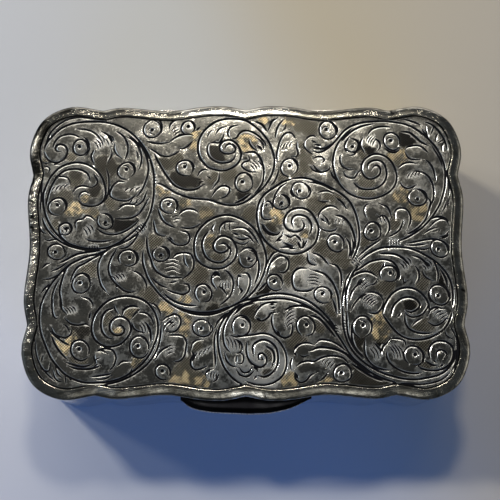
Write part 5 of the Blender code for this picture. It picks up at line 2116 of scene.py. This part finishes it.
@dataclass(frozen=True)
class Thumbpiece:
    """The lip that lifts the lid: a rounded crescent under the front of the rim."""

    outline: Cartouche
    width: float = 0.0244
    reach: float = 0.0025
    height: float = 0.0026
    end_height: float = 0.0008
    top: float = 0.02115
    root_inset: float = 0.00045
    seat: float = 0.0003
    steps: int = 72
    arc: int = 14
    shares: tuple = (
        (-1.00, 0.10), (-0.93, 0.42), (-0.79, 0.66), (-0.50, 0.86), (0.05, 1.00),
        (0.35, 0.93), (0.66, 0.62), (0.86, 0.28), (1.00, 0.08),
    )

    def share(self, across: float) -> float:
        """The share of the full reach at a place.

        Args:
            across: the place, from -1 at the left to 1 at the right.

        Returns:
            The share, from 0 to 1.
        """
        for (x0, y0), (x1, y1) in zip(self.shares, self.shares[1:]):
            if x0 <= across <= x1:
                return y0 + (y1 - y0) * (across - x0) / (x1 - x0)
        raise ValueError("the place lies outside the thumbpiece")

    def section(self, across: float) -> Ring:
        """The rounded section at a place.

        Args:
            across: the place, from -1 at the left to 1 at the right.

        Returns:
            The section's points in order.
        """
        x = across * self.width / 2.0
        near = [max(-1.0, min(1.0, across + offset)) for offset in (-0.06, -0.03, 0.0, 0.03, 0.06)]
        share = sum(self.share(place) for place in near) / len(near)
        root = self.outline.front_at(x, self.root_inset) + self.seat
        edge = self.outline.front_at(x, 0.0)
        tip = edge + (self.outline.depth / 2.0 + self.reach - edge) * share
        tall = self.end_height + (self.height - self.end_height) * share
        ring = [Vector((x, -root, self.top)), Vector((x, -root, self.top - tall))]
        for turn in range(1, self.arc):
            angle = math.pi * turn / self.arc
            out = root + (tip - root) * math.sin(angle)
            ring.append(Vector((x, -out, self.top - tall * (1.0 + math.cos(angle)) / 2.0)))
        return ring

    def make(self, material: Finish) -> None:
        """Draw the crescent from end to end and dress it.

        Args:
            material: its finish.
        """
        rings = [self.section(-1.0 + 2.0 * step / self.steps) for step in range(self.steps + 1)]
        piece = Bench.loft("thumb_crescent", rings)
        # A painted highlight: a lighter line along the outermost edge of the crescent.
        nicks_and_painted_light = piece.data.attributes.new("nicks_and_painted_light", "FLOAT", "POINT")
        section = len(rings[0])
        for index, scar in enumerate(nicks_and_painted_light.data):
            if abs(index % section - 1 - self.arc / 2.0) < 1.2 and section < index < section * self.steps:
                scar.value = -0.6
        Bench.smooth(piece, 50.0)
        Bench.hand_in(piece, Body.LID, Slot.POLISHED, material, "thumbpiece")


@dataclass(frozen=True)
class Hinge:
    """Nine tubes on a wire between two let-in bearers."""

    axis: Vector = Vector((0.0, 0.0284484, 0.0160))
    count: int = 9
    length: float = 0.0055
    play: float = 0.0001
    radius: float = 0.0010
    bore: float = 0.00045
    pin: float = 0.0004
    soft: float = 0.00012
    sides: int = 48

    def turned(self, name: str, profile: list[tuple[float, float]], closed: bool, middle: float) -> Piece:
        """A turned shape about the hinge's axis.

        Args:
            name: the piece's name.
            profile: pairs of radius and place along the axis.
            closed: the profile runs round into itself, as on a tube.
            middle: where the piece stands across.

        Returns:
            The piece.
        """
        rings = []
        for radius, along in profile:
            ring = []
            for side in range(self.sides):
                angle = 2.0 * math.pi * side / self.sides
                offset = Vector((middle + along, radius * math.cos(angle), radius * math.sin(angle)))
                ring.append(self.axis + offset)
            rings.append(ring)
        piece = Bench.loft(name, rings, closed)
        Bench.smooth(piece, 40.0)
        return piece

    def make(self, material: Finish) -> None:
        """Turn the tubes and the wire, and dress them and the bearers.

        Args:
            material: their finish.
        """
        half = self.length / 2.0
        soft = self.soft
        tube = [
            (self.bore, -half), (self.radius - soft, -half), (self.radius - 0.3 * soft, -half + 0.3 * soft),
            (self.radius, -half + soft), (self.radius, half - soft),
            (self.radius - 0.3 * soft, half - 0.3 * soft), (self.radius - soft, half), (self.bore, half),
        ]
        for index in range(self.count):
            owner = Body.LID if index % 2 else Body.BOX
            middle = (index - (self.count - 1) / 2.0) * (self.length + self.play)
            prefix = "lid" if index % 2 else "body"
            piece = self.turned(f"{prefix}_hinge_tube_{index // 2 + 1}", tube, True, middle)
            Bench.hand_in(piece, owner, Slot.HINGE, material, f"{prefix}_knuckle_{index // 2 + 1}")
        reach = (self.count * self.length + (self.count - 1) * self.play) / 2.0
        wire = [(0.5 * self.pin, -reach), (0.86 * self.pin, -reach + 0.00006), (self.pin, -reach + 0.0002)]
        wire += [(radius, -along) for radius, along in wire[::-1]]
        piece = self.turned("hinge_wire", wire, False, 0.0)
        Bench.hand_in(piece, Body.BOX, Slot.HINGE, material, "hinge_pin")
        Bench.dress("body_hinge_bearer", material)
        Bench.dress("lid_hinge_bearer", material)


@dataclass(frozen=True)
class Studio:
    """The pale table, the lamps and the camera."""

    lens: float = 79.2
    sensor: float = 36.0
    eye: Triple = (-0.00025, -0.04605, 0.22689)
    tilt: float = 12.611
    swing: float = -0.284
    roll: float = -0.058

    def table(self) -> None:
        """Lay the pale table under the box."""
        Bench.clear()
        bpy.ops.mesh.primitive_plane_add(size=3.0, location=(0.0, 0.0, 0.0))
        top = bpy.context.object
        top.name = "pale_table"
        top.data.materials.append(PaleTable().material())

    def lamp(
        self, name: str, place: Triple, size: tuple[float, float], power: float, colour: Triple
    ) -> Piece:
        """Hang a soft lamp that looks at the box.

        Args:
            name: the lamp's name.
            place: where it hangs.
            size: its width and height.
            power: its power in watts.
            colour: its colour.

        Returns:
            The lamp.
        """
        data = bpy.data.lights.new(name, "AREA")
        data.shape = "RECTANGLE"
        data.size, data.size_y = size
        data.energy = power
        data.color = colour
        lamp = bpy.data.objects.new(name, data)
        bpy.context.scene.collection.objects.link(lamp)
        lamp.location = place
        lamp.rotation_euler = (Vector((0.0, 0.0, 0.02)) - Vector(place)).to_track_quat("-Z", "Y").to_euler()
        return lamp

    def light(self) -> None:
        """Hang the lamps and fill the room with a plain soft light."""
        world = bpy.data.worlds.new("room")
        bpy.context.scene.world = world
        world.use_nodes = True
        background = world.node_tree.nodes["Background"]
        background.inputs["Color"].default_value = (0.80, 0.90, 1.0, 1.0)
        background.inputs["Strength"].default_value = 0.09
        self.lamp("key_lamp", (0.005, 0.226, 0.38), (0.05, 0.045), 0.53, (1.0, 0.93, 0.80))
        self.lamp("left_key_lamp", (-0.30, 0.226, 0.38), (0.05, 0.045), 1.2, (1.0, 0.96, 0.88))
        self.lamp("low_left_lamp", (-0.50, 0.226, 0.38), (0.06, 0.045), 0.5, (0.95, 0.97, 1.0))
        self.lamp("back_panel", (-0.05, 0.70, 0.24), (1.0, 0.22), 1.8, (1.0, 0.96, 0.88))
        left = self.lamp("left_panel", (-0.62, 0.08, 0.36), (0.8, 0.25), 0.35, (0.72, 0.86, 1.0))
        right = self.lamp("right_panel", (0.62, 0.0, 0.36), (0.7, 0.25), 0.6, (1.0, 0.95, 0.84))
        front = self.lamp("front_panel", (0.01, -0.27, 0.60), (0.15, 0.22), 0.17, (1.0, 0.97, 0.90))
        for panel in (left, right, front):
            panel.visible_diffuse = False
        sky = self.lamp("low_blue_panel", (0.05, -0.70, 0.20), (1.0, 0.25), 5.6, (0.02, 0.24, 1.0))
        sky.visible_glossy = False

    def camera(self) -> None:
        """Set the camera where the photograph was taken from."""
        data = bpy.data.cameras.new("camera")
        data.lens = self.lens
        data.sensor_width = self.sensor
        data.clip_start = 0.01
        camera = bpy.data.objects.new("camera", data)
        bpy.context.scene.collection.objects.link(camera)
        camera.location = self.eye
        turn = Euler((math.radians(self.tilt), 0.0, 0.0)).to_matrix()
        turn = turn @ Euler((0.0, math.radians(self.swing), 0.0)).to_matrix()
        turn = turn @ Euler((0.0, 0.0, math.radians(self.roll))).to_matrix()
        camera.rotation_euler = turn.to_euler()
        bpy.context.scene.camera = camera

    def make(self) -> None:
        """Set up the whole studio."""
        self.table()
        self.light()
        self.camera()
        bpy.context.scene.view_settings.view_transform = "Standard"


def main() -> None:
    """Build and dress every piece in order."""
    outline = Cartouche()
    polished = WornSilver(
        "polished_silver_finish", (0.80, 0.79, 0.77), (0.64, 0.63, 0.61), 0.07, 0.15, 0.000002
    )
    blackened = WornSilver(
        "blackened_silver_finish", (0.022, 0.022, 0.024), (0.01, 0.01, 0.012), 0.12, 0.2, 0.000002,
        pitting=0.6,
    )
    worn_rim = WornSilver(
        "rim_silver_finish", (0.30, 0.292, 0.265), (0.13, 0.126, 0.11), 0.14, 0.22, 0.000008, 500.0, 80.0, 0.9
    )
    gold_tone = WornSilver("gilt_silver_finish", (0.80, 0.70, 0.46), (0.62, 0.58, 0.48), 0.16, 0.3, 0.000004)
    hinge = WornSilver("hinge_silver_finish", (0.62, 0.61, 0.58), (0.28, 0.27, 0.26), 0.16, 0.32)
    inside_wash = gold_tone.material()
    ornament = Ornament()
    ornament.mark_out()
    LidPanel(outline, ornament).make(EngravedSilver().material())
    LidRim(replace(outline, step=0.0003)).make(worn_rim.material())
    Shells(outline).make(polished.material(), inside_wash)
    Thumbpiece(outline).make(blackened.material())
    Hinge().make(hinge.material())
    Bench.dress("floor_plate", inside_wash)
    Studio().make()


if __name__ == "__main__":
    main()
